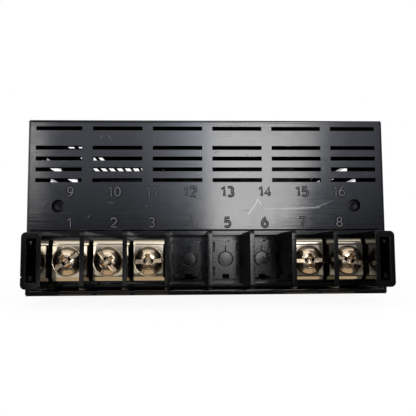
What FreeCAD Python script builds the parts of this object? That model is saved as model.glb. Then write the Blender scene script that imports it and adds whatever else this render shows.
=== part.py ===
"""Digital panel ammeter for a 96 x 48 mm front, with a barrier terminal block at the rear.

Millimetres. The display faces +Y, the terminals face -Y, and +Z is up.
The origin is the middle of the underside of the bounding box.
"""
import FreeCAD
import Part
import math
import os

V = FreeCAD.Vector
X_AXIS = V(1, 0, 0)
Y_AXIS = V(0, 1, 0)
Z_AXIS = V(0, 0, 1)
TO_REAR = V(0, -1, 0)

# Whole length, from the free edges of the terminal barriers to the front of the bezel
LENGTH = 120.3

# Front bezel and its tinted window
BEZEL_W = 96.0
BEZEL_H = 48.0
BEZEL_D = 10.0
BEZEL_FRONT_T = 2.4
BEZEL_CORNER_R = 2.5
BEZEL_BEVEL = 0.8
WINDOW_W = 72.0
WINDOW_H = 25.0
WINDOW_SETBACK = 0.4
WINDOW_FLANGE_W = 2.0
WINDOW_FLANGE_T = 1.2

# Case: a tube closed at the rear by its vented panel
CASE_W = 90.6
CASE_H = 44.4
WALL = 1.4
REAR_T = 1.6
CASE_EDGE_R = 0.6
REAR_EDGE_BEVEL = 0.35

# Slots of the rear panel, in rows measured down from the top of the case
VENT_SLOT_H = 0.95
VENT_SLOT_L = 12.55
VENT_RIB_W = 2.67
VENT_SIDE_LAND = 2.0
VENT_FIRST_ROW = 2.2
VENT_FIRST_GAP = 5.0
VENT_ROW_PITCH = 2.77
VENT_GROUP_ROWS = 4

# Slots of the top wall, over the measuring side of the case, where the wall is thinned from inside
TOP_SLOT_W = 2.5
TOP_SLOT_L = 18.0
TOP_SLOT_PITCH = 3.2
TOP_SLOT_LAND = 2.15
TOP_ROW_START = 18.4
TOP_ROW_STEP = 23.5
TOP_ROW_COUNTS = (2, 3, 7)
TOP_THINNING = 0.6

# Slots of the side walls, each row with its height over the case's underside and its start
SIDE_SLOT_H = 2.35
SIDE_SLOT_L = 22.0
SIDE_SLOT_STEP = 24.4
SIDE_SLOTS_PER_ROW = 2
LEFT_SLOT_ROWS = ((35.7, 12.5), (30.7, 17.0))
RIGHT_SLOT_ROWS = ((36.2, 26.4), (31.0, 18.5))

# Slots of the side walls that take the mounting clips
CLIP_SLOT_L = 12.0
CLIP_SLOT_H = 3.2
CLIP_SLOT_START = 60.0

# Round blind recesses of the rear panel
RECESS_X = 37.55
RECESS_UP = 22.3
RECESS_D = 3.2
RECESS_DEPTH = 0.8

# Terminal block moulding
PITCH = 9.52
BAYS = 8
BASE_H = 14.5
BASE_D = 9.6
BAY_UP = 7.4
BARRIER_OUT = 14.3
BARRIER_H = 13.0
BARRIER_T = 1.05
BARRIER_ROOT_T = 1.3
BARRIER_CORNER_R = 0.9
RIM_H = 1.1
LEDGE_H = 1.15
PEDESTAL_DEPTH = 4.9
PEDESTAL_W = 7.2
PEDESTAL_UP = 4.9
PEDESTAL_DOWN = 5.25
CHANNEL_DEPTH = 3.5
NOTCH_W = 1.9
NOTCH_DROP = 0.35
BITE_W = 0.75
BITE_H = 2.3
BITE_OFF = 3.1
EAR_H = 12.7
EAR_SLOT_W = 2.2
EAR_STRAP_T = 1.2
EAR_BAR_T = 1.45
EAR_CORNER_R = 1.1
EAR_NUB = 0.5
EAR_NUB_DEPTH = 2.6
EAR_NUB_OFF = 4.0
NICK_SIZE = 0.35
NICK_UP = 5.3
HOOK_H = 5.0
HOOK_L = 2.4
HOOK_OUT = 0.8
HOOK_DEPTH = 3.4
HOOK_CHAMFER = 0.7

# Terminals: bent strips, fitted in some of the bays, each with the angle its screw was left at
SCREW_ANGLES = {1: 36.0, 2: -51.0, 3: 3.0, 7: 2.0, 8: -17.0}
FITTED_BAYS = sorted(SCREW_ANGLES)
TAB_W = 7.5
TAB_H = 10.0
TAB_T = 0.9
TAB_INNER_R = 0.4
TAB_OUT = 6.3
LEG_W = 5.2
SHOULDER_DEPTH = 2.6
TAIL_W = 1.5
TAIL_REACH = 5.0

# Clamp washers and their screws
CLAMP_W = 7.4
CLAMP_H = 7.8
CLAMP_T = 1.1
CLAMP_BEVEL = 0.2
DISH_DEPTH = 0.5
SCREW_DROP = 0.3
SHANK_D = 3.4
SHANK_L = 8.0
HEAD_D = 6.5
HEAD_H = 2.4
DRIVE_SLOT_W = 0.95
DRIVE_SLOT_DEPTH = 1.2
CROSS_W = 1.05
CROSS_L = 3.7
CROSS_FOOT_L = 1.6
CROSS_DEPTH = 1.65

# Boards
BOARD_T = 1.6
GUIDE_OUT = 2.0
GUIDE_T = 1.0
POST_W = 5.0
POST_PIN_W = 2.0
POST_LAND = 0.6

# LED digits
DIGITS = 4
DIGIT_W = 12.6
DIGIT_H = 19.0
DIGIT_D = 8.0
DIGIT_PITCH = 13.4
DIGIT_BEVEL = 0.5
SEGMENT_T = 1.4
SEGMENT_GAP = 0.25
SEGMENT_DEPTH = 0.4
SEGMENT_W = 7.0
SEGMENT_H = 14.0
SEGMENT_SLANT = 8.0

# Pin header between the boards
HEADER_PINS = 10
HEADER_PITCH = 2.54
HEADER_X = 14.0
HEADER_SECTION = 2.5
HEADER_SETBACK = 4.0
PIN_T = 0.64
PIN_PAST = 1.0

# Supply transformer, its coil lying along Y
CORE_L = 38.0
CORE_H = 32.0
CORE_STACK = 16.0
CORE_LIMB = 6.4
COIL_OVERHANG = 4.6
BOBBIN_T = 0.9
FLANGE_T = 1.1
WINDING_R = 2.3
TRANSFORMER_INSET = 25.6
TRANSFORMER_BACK = 20.0

# Shunt strip, converter chip and supply parts
SHUNT_W = 6.0
SHUNT_T = 1.0
SHUNT_H = 11.0
SHUNT_INNER_R = 1.0
SHUNT_BACK = 16.0
CHIP_L = 50.8
CHIP_W = 13.2
CHIP_T = 3.6
CHIP_RAISE = 0.6
CHIP_TAPER = 0.3
CHIP_NOTCH_R = 1.6
CHIP_NOTCH_DEPTH = 0.9
CHIP_LEGS_PER_SIDE = 20
CHIP_LEG_PITCH = 2.54
CHIP_LEG_W = 0.5
CHIP_LEG_T = 0.3
CHIP_LEG_SPAN = 15.24
CHIP_INSET = 16.6
CHIP_BACK = 26.0
FILTER_CAP_D = 13.0
FILTER_CAP_H = 21.0
SMOOTHING_CAP_D = 10.0
SMOOTHING_CAP_H = 16.0
CAP_X = -6.0
FILTER_CAP_BACK = 66.0
SMOOTHING_CAP_BACK = 50.0
BRIDGE_D = 9.0
BRIDGE_H = 5.5
BRIDGE_FLAT = 3.9
BRIDGE_BACK = 36.0
REGULATOR_W = 10.0
REGULATOR_BODY_T = 4.4
REGULATOR_BODY_H = 9.0
REGULATOR_TAB_T = 1.3
REGULATOR_TAB_H = 15.5
REGULATOR_LEG_W = 0.9
REGULATOR_LEG_L = 4.0
REGULATOR_LEG_PITCH = 2.54
REGULATOR_HOLE_D = 3.6
REGULATOR_INSET = 4.6
REGULATOR_BACK = 62.0

# Clearances
FIT = 0.1
SLIDE_GAP = 0.05
RUN_FIT = 0.05
SHANK_CLEARANCE = 0.25
HEAD_CLEARANCE = 0.1
EDGE_CLEARANCE = 0.3
DIGIT_CLEARANCE = 0.35

# How far cuts reach past a face and roots into a wall, and what counts as level
OVERCUT = 1.0
ROOT = 0.5
LEVEL = 1e-4

# Places worked out from the sizes above
CASE_REACH = LENGTH - BARRIER_OUT - BEZEL_D
Y_BARRIER = -LENGTH / 2
Y_PANEL = Y_BARRIER + BARRIER_OUT
Y_SEAT = Y_PANEL + CASE_REACH
Y_FRONT = Y_SEAT + BEZEL_D
Y_CASE_FRONT = Y_FRONT - BEZEL_FRONT_T
Z_MIDDLE = BEZEL_H / 2
CASE_BOTTOM = Z_MIDDLE - CASE_H / 2
CASE_TOP = Z_MIDDLE + CASE_H / 2
INNER_HALF_W = CASE_W / 2 - WALL
INNER_BOTTOM = CASE_BOTTOM + WALL
INNER_TOP = CASE_TOP - WALL
BASE_BOTTOM = INNER_BOTTOM + FIT
BASE_TOP = BASE_BOTTOM + BASE_H
BASE_HALF_W = INNER_HALF_W - FIT
Y_BASE_BACK = Y_PANEL + BASE_D
Y_PEDESTAL = Y_PANEL + PEDESTAL_DEPTH
Z_BAY = BASE_BOTTOM + BAY_UP
Z_SCREW = Z_BAY - SCREW_DROP
Y_TAB = Y_PANEL - TAB_OUT
Y_CLAMP_SEAT = Y_TAB - SLIDE_GAP
Y_CLAMP_FACE = Y_CLAMP_SEAT - CLAMP_T
Y_DISH_FLOOR = Y_CLAMP_FACE + DISH_DEPTH
Y_HEAD_SEAT = Y_DISH_FLOOR - SLIDE_GAP
BOARD_TOP = Z_BAY - TAB_H / 2
BOARD_BOTTOM = BOARD_TOP - BOARD_T
Y_BOARD_REAR = Y_BASE_BACK + EDGE_CLEARANCE
Y_WINDOW_BACK = Y_CASE_FRONT - WINDOW_FLANGE_T
Y_DISPLAY_BOARD = Y_WINDOW_BACK - DIGIT_CLEARANCE - DIGIT_D
Y_DISPLAY_BACK = Y_DISPLAY_BOARD - BOARD_T
Y_BOARD_FRONT = Y_DISPLAY_BACK - EDGE_CLEARANCE
POST_X = INNER_HALF_W - POST_LAND - POST_W / 2
POST_Z = INNER_TOP - Z_MIDDLE - POST_LAND - POST_W / 2
TRANSFORMER_X = INNER_HALF_W - TRANSFORMER_INSET
CHIP_X = CHIP_INSET - INNER_HALF_W
REGULATOR_X = INNER_HALF_W - REGULATOR_INSET
TAB_OUTER_R = TAB_INNER_R + TAB_T
SHUNT_OUTER_R = SHUNT_INNER_R + SHUNT_T


def box(x0, x1, y0, y1, z0, z1):
    """A block between two corners."""
    return Part.makeBox(x1 - x0, y1 - y0, z1 - z0, V(x0, y0, z0))


def y_rod(radius, y0, y1, x, z):
    """A cylinder that runs along Y."""
    return Part.makeCylinder(radius, y1 - y0, V(x, y0, z), Y_AXIS)


def square_bar(width, y0, y1, x, z):
    """A square bar that runs along Y."""
    half = width / 2
    return box(x - half, x + half, y0, y1, z - half, z + half)


def edges_along(shape, axis, at=None):
    """The straight edges parallel to an axis, or only those that pass the test at(middle point)."""
    found = []
    for edge in shape.Edges:
        if not isinstance(edge.Curve, (Part.Line, Part.LineSegment)):
            continue
        if edge.tangentAt(edge.FirstParameter).cross(axis).Length > LEVEL:
            continue
        middle = edge.valueAt((edge.FirstParameter + edge.LastParameter) / 2)
        if at is None or at(middle):
            found.append(edge)
    return found


def edges_at_y(shape, y):
    """The edges that lie in one plane across Y."""
    found = []
    for edge in shape.Edges:
        bounds = edge.BoundBox
        if abs(bounds.YMin - y) < LEVEL and abs(bounds.YMax - y) < LEVEL:
            found.append(edge)
    return found


def rounded_bar(x0, x1, y0, y1, z0, z1, radius):
    """A block whose four edges along Y are rounded."""
    bar = box(x0, x1, y0, y1, z0, z1)
    return bar.makeFillet(radius, edges_along(bar, Y_AXIS))


def polygon_prism(points, travel):
    """A prism over a closed flat outline."""
    wire = Part.makePolygon(points + [points[0]])
    return Part.Face(wire).extrude(travel)


def bay_x(bay):
    """The middle of a bay, counted from 1 at -X."""
    return (bay - (BAYS + 1) / 2) * PITCH


def save(shape, node):
    shape.exportStep("parts/" + node + ".step")


# Case


def rear_vents():
    """Slots of the rear panel: full ones either side of the middle, shorter ones at the ends."""
    rows = [VENT_FIRST_ROW]
    for row in range(VENT_GROUP_ROWS):
        rows.append(VENT_FIRST_ROW + VENT_FIRST_GAP + row * VENT_ROW_PITCH)
    inner = VENT_RIB_W / 2
    spans = []
    outer_end = CASE_W / 2 - VENT_SIDE_LAND
    while inner < outer_end:
        spans.append((inner, min(inner + VENT_SLOT_L, outer_end)))
        inner += VENT_SLOT_L + VENT_RIB_W
    slots = []
    for row in rows:
        low = CASE_TOP - row - VENT_SLOT_H / 2
        high = low + VENT_SLOT_H
        for near, far in spans:
            for x0, x1 in ((near, far), (-far, -near)):
                slots.append(box(x0, x1, Y_PANEL - OVERCUT, Y_PANEL + REAR_T + OVERCUT,
                                 low, high))
    return slots


def top_vents():
    """Slots along the depth in the top wall, in rows one behind the other, and the wall's thinning."""
    slots = []
    for row, count in enumerate(TOP_ROW_COUNTS):
        y0 = Y_PANEL + TOP_ROW_START + row * TOP_ROW_STEP
        for column in range(count):
            x0 = -CASE_W / 2 + TOP_SLOT_LAND + column * TOP_SLOT_PITCH
            slots.append(box(x0, x0 + TOP_SLOT_W, y0, y0 + TOP_SLOT_L,
                             INNER_TOP - OVERCUT, CASE_TOP + OVERCUT))
        slots.append(box(-CASE_W / 2 + TOP_SLOT_LAND, x0 + TOP_SLOT_W, y0, y0 + TOP_SLOT_L,
                         INNER_TOP - OVERCUT, INNER_TOP + TOP_THINNING))
    return slots


def side_vents():
    """Slots along the depth in both side walls."""
    slots = []
    for side, rows in ((-1, LEFT_SLOT_ROWS), (1, RIGHT_SLOT_ROWS)):
        x0, x1 = sorted((side * (INNER_HALF_W - OVERCUT), side * (CASE_W / 2 + OVERCUT)))
        for height, start in rows:
            z0 = CASE_BOTTOM + height - SIDE_SLOT_H / 2
            for step in range(SIDE_SLOTS_PER_ROW):
                y0 = Y_PANEL + start + step * SIDE_SLOT_STEP
                slots.append(box(x0, x1, y0, y0 + SIDE_SLOT_L, z0, z0 + SIDE_SLOT_H))
    return slots


def clip_slots():
    """One slot at half height in each side wall, for a clip that pulls the bezel to its panel."""
    slots = []
    for side in (-1, 1):
        x0, x1 = sorted((side * (INNER_HALF_W - OVERCUT), side * (CASE_W / 2 + OVERCUT)))
        y0 = Y_PANEL + CLIP_SLOT_START
        slots.append(box(x0, x1, y0, y0 + CLIP_SLOT_L,
                         Z_MIDDLE - CLIP_SLOT_H / 2, Z_MIDDLE + CLIP_SLOT_H / 2))
    return slots


def hook_box(side, grow):
    """The place of a snap hook of the terminal block, or of its window in the case wall."""
    x0, x1 = sorted((side * (BASE_HALF_W - ROOT), side * (BASE_HALF_W + HOOK_OUT + grow)))
    y0 = Y_PANEL + HOOK_DEPTH - grow
    z0 = Z_BAY - HOOK_H / 2 - grow
    return box(x0, x1, y0, y0 + HOOK_L + 2 * grow, z0, z0 + HOOK_H + 2 * grow)


def case_body():
    half_w = CASE_W / 2
    outer = rounded_bar(-half_w, half_w, Y_PANEL, Y_CASE_FRONT, CASE_BOTTOM, CASE_TOP, CASE_EDGE_R)
    outer = outer.makeChamfer(REAR_EDGE_BEVEL, edges_at_y(outer, Y_PANEL))
    hollow = box(-INNER_HALF_W, INNER_HALF_W, Y_PANEL + REAR_T, Y_CASE_FRONT + OVERCUT,
                 INNER_BOTTOM, INNER_TOP)
    block_opening = box(-INNER_HALF_W, INNER_HALF_W, Y_PANEL - OVERCUT, Y_PANEL + REAR_T + OVERCUT,
                        INNER_BOTTOM, BASE_TOP + FIT)
    cuts = [hollow, block_opening] + rear_vents() + top_vents() + side_vents() + clip_slots()
    for side in (-1, 1):
        cuts.append(y_rod(RECESS_D / 2, Y_PANEL - OVERCUT, Y_PANEL + RECESS_DEPTH,
                          side * RECESS_X, CASE_BOTTOM + RECESS_UP))
        cuts.append(hook_box(side, FIT).fuse(hook_box(side, FIT).translated(V(side * WALL, 0, 0))))
    shell = outer.cut(cuts)
    added = []
    for side in (-1, 1):
        x0, x1 = sorted((side * (INNER_HALF_W - GUIDE_OUT), side * (INNER_HALF_W + WALL / 2)))
        y0 = Y_BOARD_REAR + GUIDE_OUT
        y1 = Y_BOARD_FRONT - GUIDE_OUT
        over = BOARD_TOP + FIT
        added.append(box(x0, x1, y0, y1, INNER_BOTTOM - WALL / 2, BOARD_BOTTOM))
        added.append(box(x0, x1, y0, y1, over, over + GUIDE_T))
    return shell.fuse(added).removeSplitter()


# Terminal block


def barrier(x):
    """One wall between bays: tapered to its free edge, with rounded corners."""
    root = Y_PEDESTAL + CHANNEL_DEPTH + ROOT
    half_front = BARRIER_T / 2
    half_root = BARRIER_ROOT_T / 2
    low = Z_BAY - BARRIER_H / 2
    points = [V(x - half_front, Y_BARRIER, low), V(x + half_front, Y_BARRIER, low),
              V(x + half_root, root, low), V(x - half_root, root, low)]
    wall = polygon_prism(points, V(0, 0, BARRIER_H))
    limit = box(x - PITCH, x + PITCH, Y_BARRIER, root, low, low + BARRIER_H)
    limit = limit.makeFillet(BARRIER_CORNER_R, edges_along(limit, X_AXIS, lambda p: p.y < Y_PANEL))
    return wall.common(limit)


def ear(side):
    """The open loop at one end of the block, with two small nubs inside its strap."""
    inner_x = BAYS / 2 * PITCH
    slot_x0 = inner_x + BARRIER_T / 2
    slot_x1 = slot_x0 + EAR_SLOT_W
    strap_x = slot_x1 + EAR_STRAP_T
    low = Z_BAY - EAR_H / 2
    high = Z_BAY + EAR_H / 2
    loop = box(inner_x, strap_x, Y_BARRIER, Y_PANEL + ROOT, low, high)
    loop = loop.makeFillet(EAR_CORNER_R, edges_along(loop, Y_AXIS, lambda p: p.x > slot_x1))
    slot = box(slot_x0, slot_x1, Y_BARRIER - OVERCUT, Y_PANEL, low + EAR_BAR_T, high - EAR_BAR_T)
    loop = loop.cut(slot)
    for up in (-1, 1):
        z = Z_BAY + up * EAR_NUB_OFF
        y = Y_BARRIER + EAR_NUB_DEPTH
        nub = box(slot_x1 - EAR_NUB, slot_x1 + EAR_NUB, y, y + 2 * EAR_NUB, z - EAR_NUB, z + EAR_NUB)
        loop = loop.fuse(nub)
    if side > 0:
        return loop
    loop = loop.mirror(V(0, 0, 0), X_AXIS)
    nick_z = CASE_BOTTOM + NICK_UP
    nick = polygon_prism([V(-strap_x - NICK_SIZE, Y_BARRIER - OVERCUT, nick_z - NICK_SIZE),
                          V(-strap_x - NICK_SIZE, Y_BARRIER - OVERCUT, nick_z + NICK_SIZE),
                          V(-strap_x + NICK_SIZE, Y_BARRIER - OVERCUT, nick_z)], V(0, BARRIER_OUT, 0))
    return loop.cut(nick)


def bay_cuts(bay):
    """What is taken out of the base in one bay: the recess, the moat round the pedestal, its slots."""
    x = bay_x(bay)
    half = PITCH / 2
    floor = Y_PEDESTAL + CHANNEL_DEPTH
    recess_top = BASE_TOP - RIM_H
    front = Y_PANEL - OVERCUT
    recess = box(x - half, x + half, front, Y_PEDESTAL, BASE_BOTTOM - OVERCUT, recess_top)
    moat = box(x - half, x + half, front, floor, BASE_BOTTOM + LEDGE_H, recess_top)
    pedestal = box(x - PEDESTAL_W / 2, x + PEDESTAL_W / 2, front, floor,
                   Z_BAY - PEDESTAL_DOWN, Z_BAY + PEDESTAL_UP)
    bites = []
    for side in (-1, 1):
        for up in (-1, 1):
            edge = x + side * PEDESTAL_W / 2
            z = Z_BAY + up * BITE_OFF
            bites.append(box(edge - BITE_W, edge + BITE_W, front, floor, z - BITE_H / 2, z + BITE_H / 2))
    moat = moat.cut(pedestal.cut(bites))
    slot_half_w = TAIL_W / 2 + FIT
    leg_low = Z_BAY - TAB_H / 2
    tail_slot = box(x - slot_half_w, x + slot_half_w, front, Y_BASE_BACK + OVERCUT,
                    leg_low - FIT, leg_low + TAB_T + FIT)
    notch = box(x - NOTCH_W / 2, x + NOTCH_W / 2, front, floor,
                Z_BAY + PEDESTAL_UP - NOTCH_DROP, Z_BAY + PEDESTAL_UP)
    return [recess, moat, tail_slot, notch]


def terminal_block():
    base = box(-BASE_HALF_W, BASE_HALF_W, Y_PANEL, Y_BASE_BACK, BASE_BOTTOM, BASE_TOP)
    cuts = []
    for bay in range(1, BAYS + 1):
        cuts += bay_cuts(bay)
    base = base.cut(cuts)
    added = [barrier((wall - BAYS / 2) * PITCH) for wall in range(BAYS + 1)]
    for side in (-1, 1):
        added.append(ear(side))
        hook = hook_box(side, 0)
        ramp = [edge for edge in edges_at_y(hook, Y_PANEL + HOOK_DEPTH + HOOK_L)
                if edge.BoundBox.ZLength > HOOK_H / 2 and abs(edge.BoundBox.Center.x) > BASE_HALF_W]
        added.append(hook.makeChamfer(HOOK_CHAMFER, ramp))
    return base.fuse(added).removeSplitter()


# Terminals, clamp washers and screws


def terminal(bay):
    """A bent strip: web with the screw hole, two legs on the pedestal, tail to the board."""
    x = bay_x(bay)
    half = TAB_W / 2
    low = Z_BAY - TAB_H / 2
    high = Z_BAY + TAB_H / 2
    outer = box(x - half, x + half, Y_TAB, Y_PEDESTAL, low, high)
    outer = outer.makeFillet(TAB_OUTER_R, edges_along(outer, X_AXIS, lambda p: p.y < Y_TAB + TAB_T))
    inner = box(x - half, x + half, Y_TAB + TAB_T, Y_PEDESTAL + OVERCUT, low + TAB_T, high - TAB_T)
    inner = inner.makeFillet(TAB_INNER_R, edges_along(inner, X_AXIS, lambda p: p.y < Y_PEDESTAL))
    shoulder = Y_TAB + SHOULDER_DEPTH
    sides = []
    for x0, x1 in ((x - half - OVERCUT, x - LEG_W / 2), (x + LEG_W / 2, x + half + OVERCUT)):
        sides.append(box(x0, x1, shoulder, Y_PEDESTAL + OVERCUT, low - OVERCUT, high + OVERCUT))
    hole = y_rod(SHANK_D / 2 + RUN_FIT, Y_TAB - OVERCUT, Y_TAB + TAB_T + OVERCUT, x, Z_SCREW)
    strip = outer.cut([inner, hole] + sides)
    tail = box(x - TAIL_W / 2, x + TAIL_W / 2, Y_PEDESTAL, Y_BASE_BACK + TAIL_REACH, low, low + TAB_T)
    return strip.fuse(tail).removeSplitter()


def clamp_washer(bay):
    """A square washer, dished to take the screw head."""
    x = bay_x(bay)
    plate = box(x - CLAMP_W / 2, x + CLAMP_W / 2, Y_CLAMP_FACE, Y_CLAMP_SEAT,
                Z_SCREW - CLAMP_H / 2, Z_SCREW + CLAMP_H / 2)
    plate = plate.makeChamfer(CLAMP_BEVEL, edges_at_y(plate, Y_CLAMP_FACE))
    dish = y_rod(HEAD_D / 2 + HEAD_CLEARANCE, Y_CLAMP_FACE - OVERCUT, Y_DISH_FLOOR, x, Z_SCREW)
    hole = y_rod(SHANK_D / 2 + SHANK_CLEARANCE, Y_CLAMP_FACE - OVERCUT, Y_CLAMP_SEAT + OVERCUT, x, Z_SCREW)
    return plate.cut([dish, hole])


def terminal_screw(bay):
    """A combination screw: cheese head with a slot and a tapered cross recess, plain shank."""
    x = bay_x(bay)
    top = Y_HEAD_SEAT - HEAD_H
    tip = Y_HEAD_SEAT + SHANK_L
    head = y_rod(HEAD_D / 2, top, Y_HEAD_SEAT, x, Z_SCREW)
    screw = head.fuse(y_rod(SHANK_D / 2, Y_HEAD_SEAT, tip, x, Z_SCREW))
    above = top - OVERCUT
    slot = box(x - HEAD_D, x + HEAD_D, above, top + DRIVE_SLOT_DEPTH,
               Z_SCREW - DRIVE_SLOT_W / 2, Z_SCREW + DRIVE_SLOT_W / 2)
    foot = CROSS_FOOT_L / 2
    reach = CROSS_L / 2 + (CROSS_L - CROSS_FOOT_L) / 2 * OVERCUT / CROSS_DEPTH
    floor = top + CROSS_DEPTH
    side = x - CROSS_W / 2
    arms = polygon_prism([V(side, above, Z_SCREW - reach), V(side, above, Z_SCREW + reach),
                          V(side, floor, Z_SCREW + foot), V(side, floor, Z_SCREW - foot)], X_AXIS * CROSS_W)
    crossed = arms.copy()
    crossed.rotate(V(x, 0, Z_SCREW), Y_AXIS, 90)
    screw = screw.cut([slot, arms, crossed])
    screw.rotate(V(x, 0, Z_SCREW), TO_REAR, SCREW_ANGLES[bay])
    return screw


# Bezel and window


def front_bezel():
    """A cap that fits over the front end of the case, with posts for the display board."""
    half_w = BEZEL_W / 2
    outer = rounded_bar(-half_w, half_w, Y_SEAT, Y_FRONT, 0, BEZEL_H, BEZEL_CORNER_R)
    outer = outer.makeChamfer(BEZEL_BEVEL, edges_at_y(outer, Y_FRONT))
    case_half = CASE_W / 2 + FIT
    hollow = rounded_bar(-case_half, case_half, Y_SEAT - OVERCUT, Y_CASE_FRONT,
                         CASE_BOTTOM - FIT, CASE_TOP + FIT, CASE_EDGE_R)
    window = box(-WINDOW_W / 2, WINDOW_W / 2, Y_SEAT, Y_FRONT + OVERCUT,
                 Z_MIDDLE - WINDOW_H / 2, Z_MIDDLE + WINDOW_H / 2)
    frame = outer.cut([hollow, window])
    added = []
    for side in (-1, 1):
        for up in (-1, 1):
            x = side * POST_X
            z = Z_MIDDLE + up * POST_Z
            added.append(square_bar(POST_W, Y_DISPLAY_BOARD, Y_CASE_FRONT, x, z))
            added.append(square_bar(POST_PIN_W, Y_DISPLAY_BACK, Y_CASE_FRONT, x, z))
    return frame.fuse(added).removeSplitter()


def front_window():
    """The tinted filter: a pane in the bezel's opening with a flange behind it."""
    half_w = WINDOW_W / 2 - FIT
    half_h = WINDOW_H / 2 - FIT
    pane = box(-half_w, half_w, Y_CASE_FRONT, Y_FRONT - WINDOW_SETBACK,
               Z_MIDDLE - half_h, Z_MIDDLE + half_h)
    half_w += WINDOW_FLANGE_W
    half_h += WINDOW_FLANGE_W
    flange = box(-half_w, half_w, Y_WINDOW_BACK, Y_CASE_FRONT, Z_MIDDLE - half_h, Z_MIDDLE + half_h)
    return pane.fuse(flange).removeSplitter()


# Boards, digits and header


def header_xs():
    first = HEADER_X - (HEADER_PINS - 1) / 2 * HEADER_PITCH
    return [first + pin * HEADER_PITCH for pin in range(HEADER_PINS)]


HEADER_REAR = Y_BOARD_FRONT - HEADER_SETBACK - HEADER_SECTION
PIN_Z = BOARD_TOP + HEADER_SECTION / 2
PIN_Y = HEADER_REAR - PIN_T / 2


def main_board():
    half = INNER_HALF_W - EDGE_CLEARANCE
    board = box(-half, half, Y_BOARD_REAR, Y_BOARD_FRONT, BOARD_BOTTOM, BOARD_TOP)
    hole = PIN_T / 2 + FIT
    holes = [box(x - hole, x + hole, PIN_Y - hole, PIN_Y + hole,
                 BOARD_BOTTOM - OVERCUT, BOARD_TOP + OVERCUT) for x in header_xs()]
    return board.cut(holes)


def display_board():
    half = INNER_HALF_W - EDGE_CLEARANCE
    board = box(-half, half, Y_DISPLAY_BACK, Y_DISPLAY_BOARD,
                INNER_BOTTOM + EDGE_CLEARANCE, INNER_TOP - EDGE_CLEARANCE)
    hole = PIN_T / 2 + FIT
    holes = [box(x - hole, x + hole, Y_DISPLAY_BACK - OVERCUT, Y_DISPLAY_BOARD + OVERCUT,
                 PIN_Z - hole, PIN_Z + hole) for x in header_xs()]
    for side in (-1, 1):
        for up in (-1, 1):
            holes.append(square_bar(POST_PIN_W + 2 * FIT, Y_DISPLAY_BACK - OVERCUT,
                                    Y_DISPLAY_BOARD + OVERCUT, side * POST_X, Z_MIDDLE + up * POST_Z))
    return board.cut(holes)


def segment_bars(x, z):
    """The seven slanted bars of a digit, as prisms that reach out of its face."""
    half_w = SEGMENT_W / 2
    half_h = SEGMENT_H / 4
    bars = []
    for up in (-1, 0, 1):
        bars.append((0, up * 2 * half_h, half_w, True))
    for side in (-1, 1):
        for up in (-1, 1):
            bars.append((side * half_w, up * half_h, half_h, False))
    slant = math.tan(math.radians(SEGMENT_SLANT))
    face = Y_DISPLAY_BOARD + DIGIT_D
    tip = SEGMENT_T / 2
    prisms = []
    for cx, cz, half_l, lying in bars:
        end = half_l - SEGMENT_GAP
        outline = [(-end, 0), (tip - end, tip), (end - tip, tip),
                   (end, 0), (end - tip, -tip), (tip - end, -tip)]
        if not lying:
            outline = [(v, u) for u, v in outline]
        points = []
        for u, v in outline:
            points.append(V(x - (cx + u) - (cz + v) * slant, face - SEGMENT_DEPTH, z + cz + v))
        prisms.append(polygon_prism(points, V(0, SEGMENT_DEPTH + OVERCUT, 0)))
    return prisms


def digit(number):
    """One LED digit, numbered from the left as the display is read."""
    x = ((DIGITS + 1) / 2 - number) * DIGIT_PITCH
    face = Y_DISPLAY_BOARD + DIGIT_D
    body = box(x - DIGIT_W / 2, x + DIGIT_W / 2, Y_DISPLAY_BOARD, face,
               Z_MIDDLE - DIGIT_H / 2, Z_MIDDLE + DIGIT_H / 2)
    body = body.makeChamfer(DIGIT_BEVEL, edges_at_y(body, face))
    return body.cut(segment_bars(x, Z_MIDDLE))


def board_header():
    xs = header_xs()
    grip = HEADER_PITCH / 2
    body = box(xs[0] - grip, xs[-1] + grip, HEADER_REAR, HEADER_REAR + HEADER_SECTION,
               BOARD_TOP, BOARD_TOP + HEADER_SECTION)
    hole = PIN_T / 2 + FIT
    return body.cut([box(x - hole, x + hole, HEADER_REAR - OVERCUT, HEADER_REAR + HEADER_SECTION + OVERCUT,
                         PIN_Z - hole, PIN_Z + hole) for x in xs])


def header_pins():
    """Angled pins: down through the main board and forward through the display board."""
    half = PIN_T / 2
    pins = []
    for x in header_xs():
        down = box(x - half, x + half, PIN_Y - half, PIN_Y + half, BOARD_BOTTOM - PIN_T, PIN_Z + half)
        along = box(x - half, x + half, PIN_Y - half, Y_DISPLAY_BOARD + PIN_PAST,
                    PIN_Z - half, PIN_Z + half)
        pins.append(down.fuse(along).removeSplitter())
    return Part.makeCompound(pins)


# Supply transformer

CORE_Y0 = Y_PANEL + TRANSFORMER_BACK
CORE_Y1 = CORE_Y0 + CORE_L
CORE_Z0 = BOARD_TOP
CORE_Z1 = CORE_Z0 + CORE_H
CORE_MIDDLE = (CORE_Z0 + CORE_Z1) / 2
COIL_Y0 = CORE_Y0 + CORE_LIMB + FIT
COIL_Y1 = CORE_Y1 - CORE_LIMB - FIT
COIL_HALF_X = CORE_STACK / 2 + COIL_OVERHANG
COIL_HALF_Z = CORE_H / 2 - CORE_LIMB - FIT
LIMB_HALF_X = CORE_STACK / 2 + FIT
LIMB_HALF_Z = CORE_LIMB + FIT


def around(half_x, half_z, y0, y1):
    """A block centred on the transformer's middle limb."""
    return box(TRANSFORMER_X - half_x, TRANSFORMER_X + half_x, y0, y1,
               CORE_MIDDLE - half_z, CORE_MIDDLE + half_z)


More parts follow.
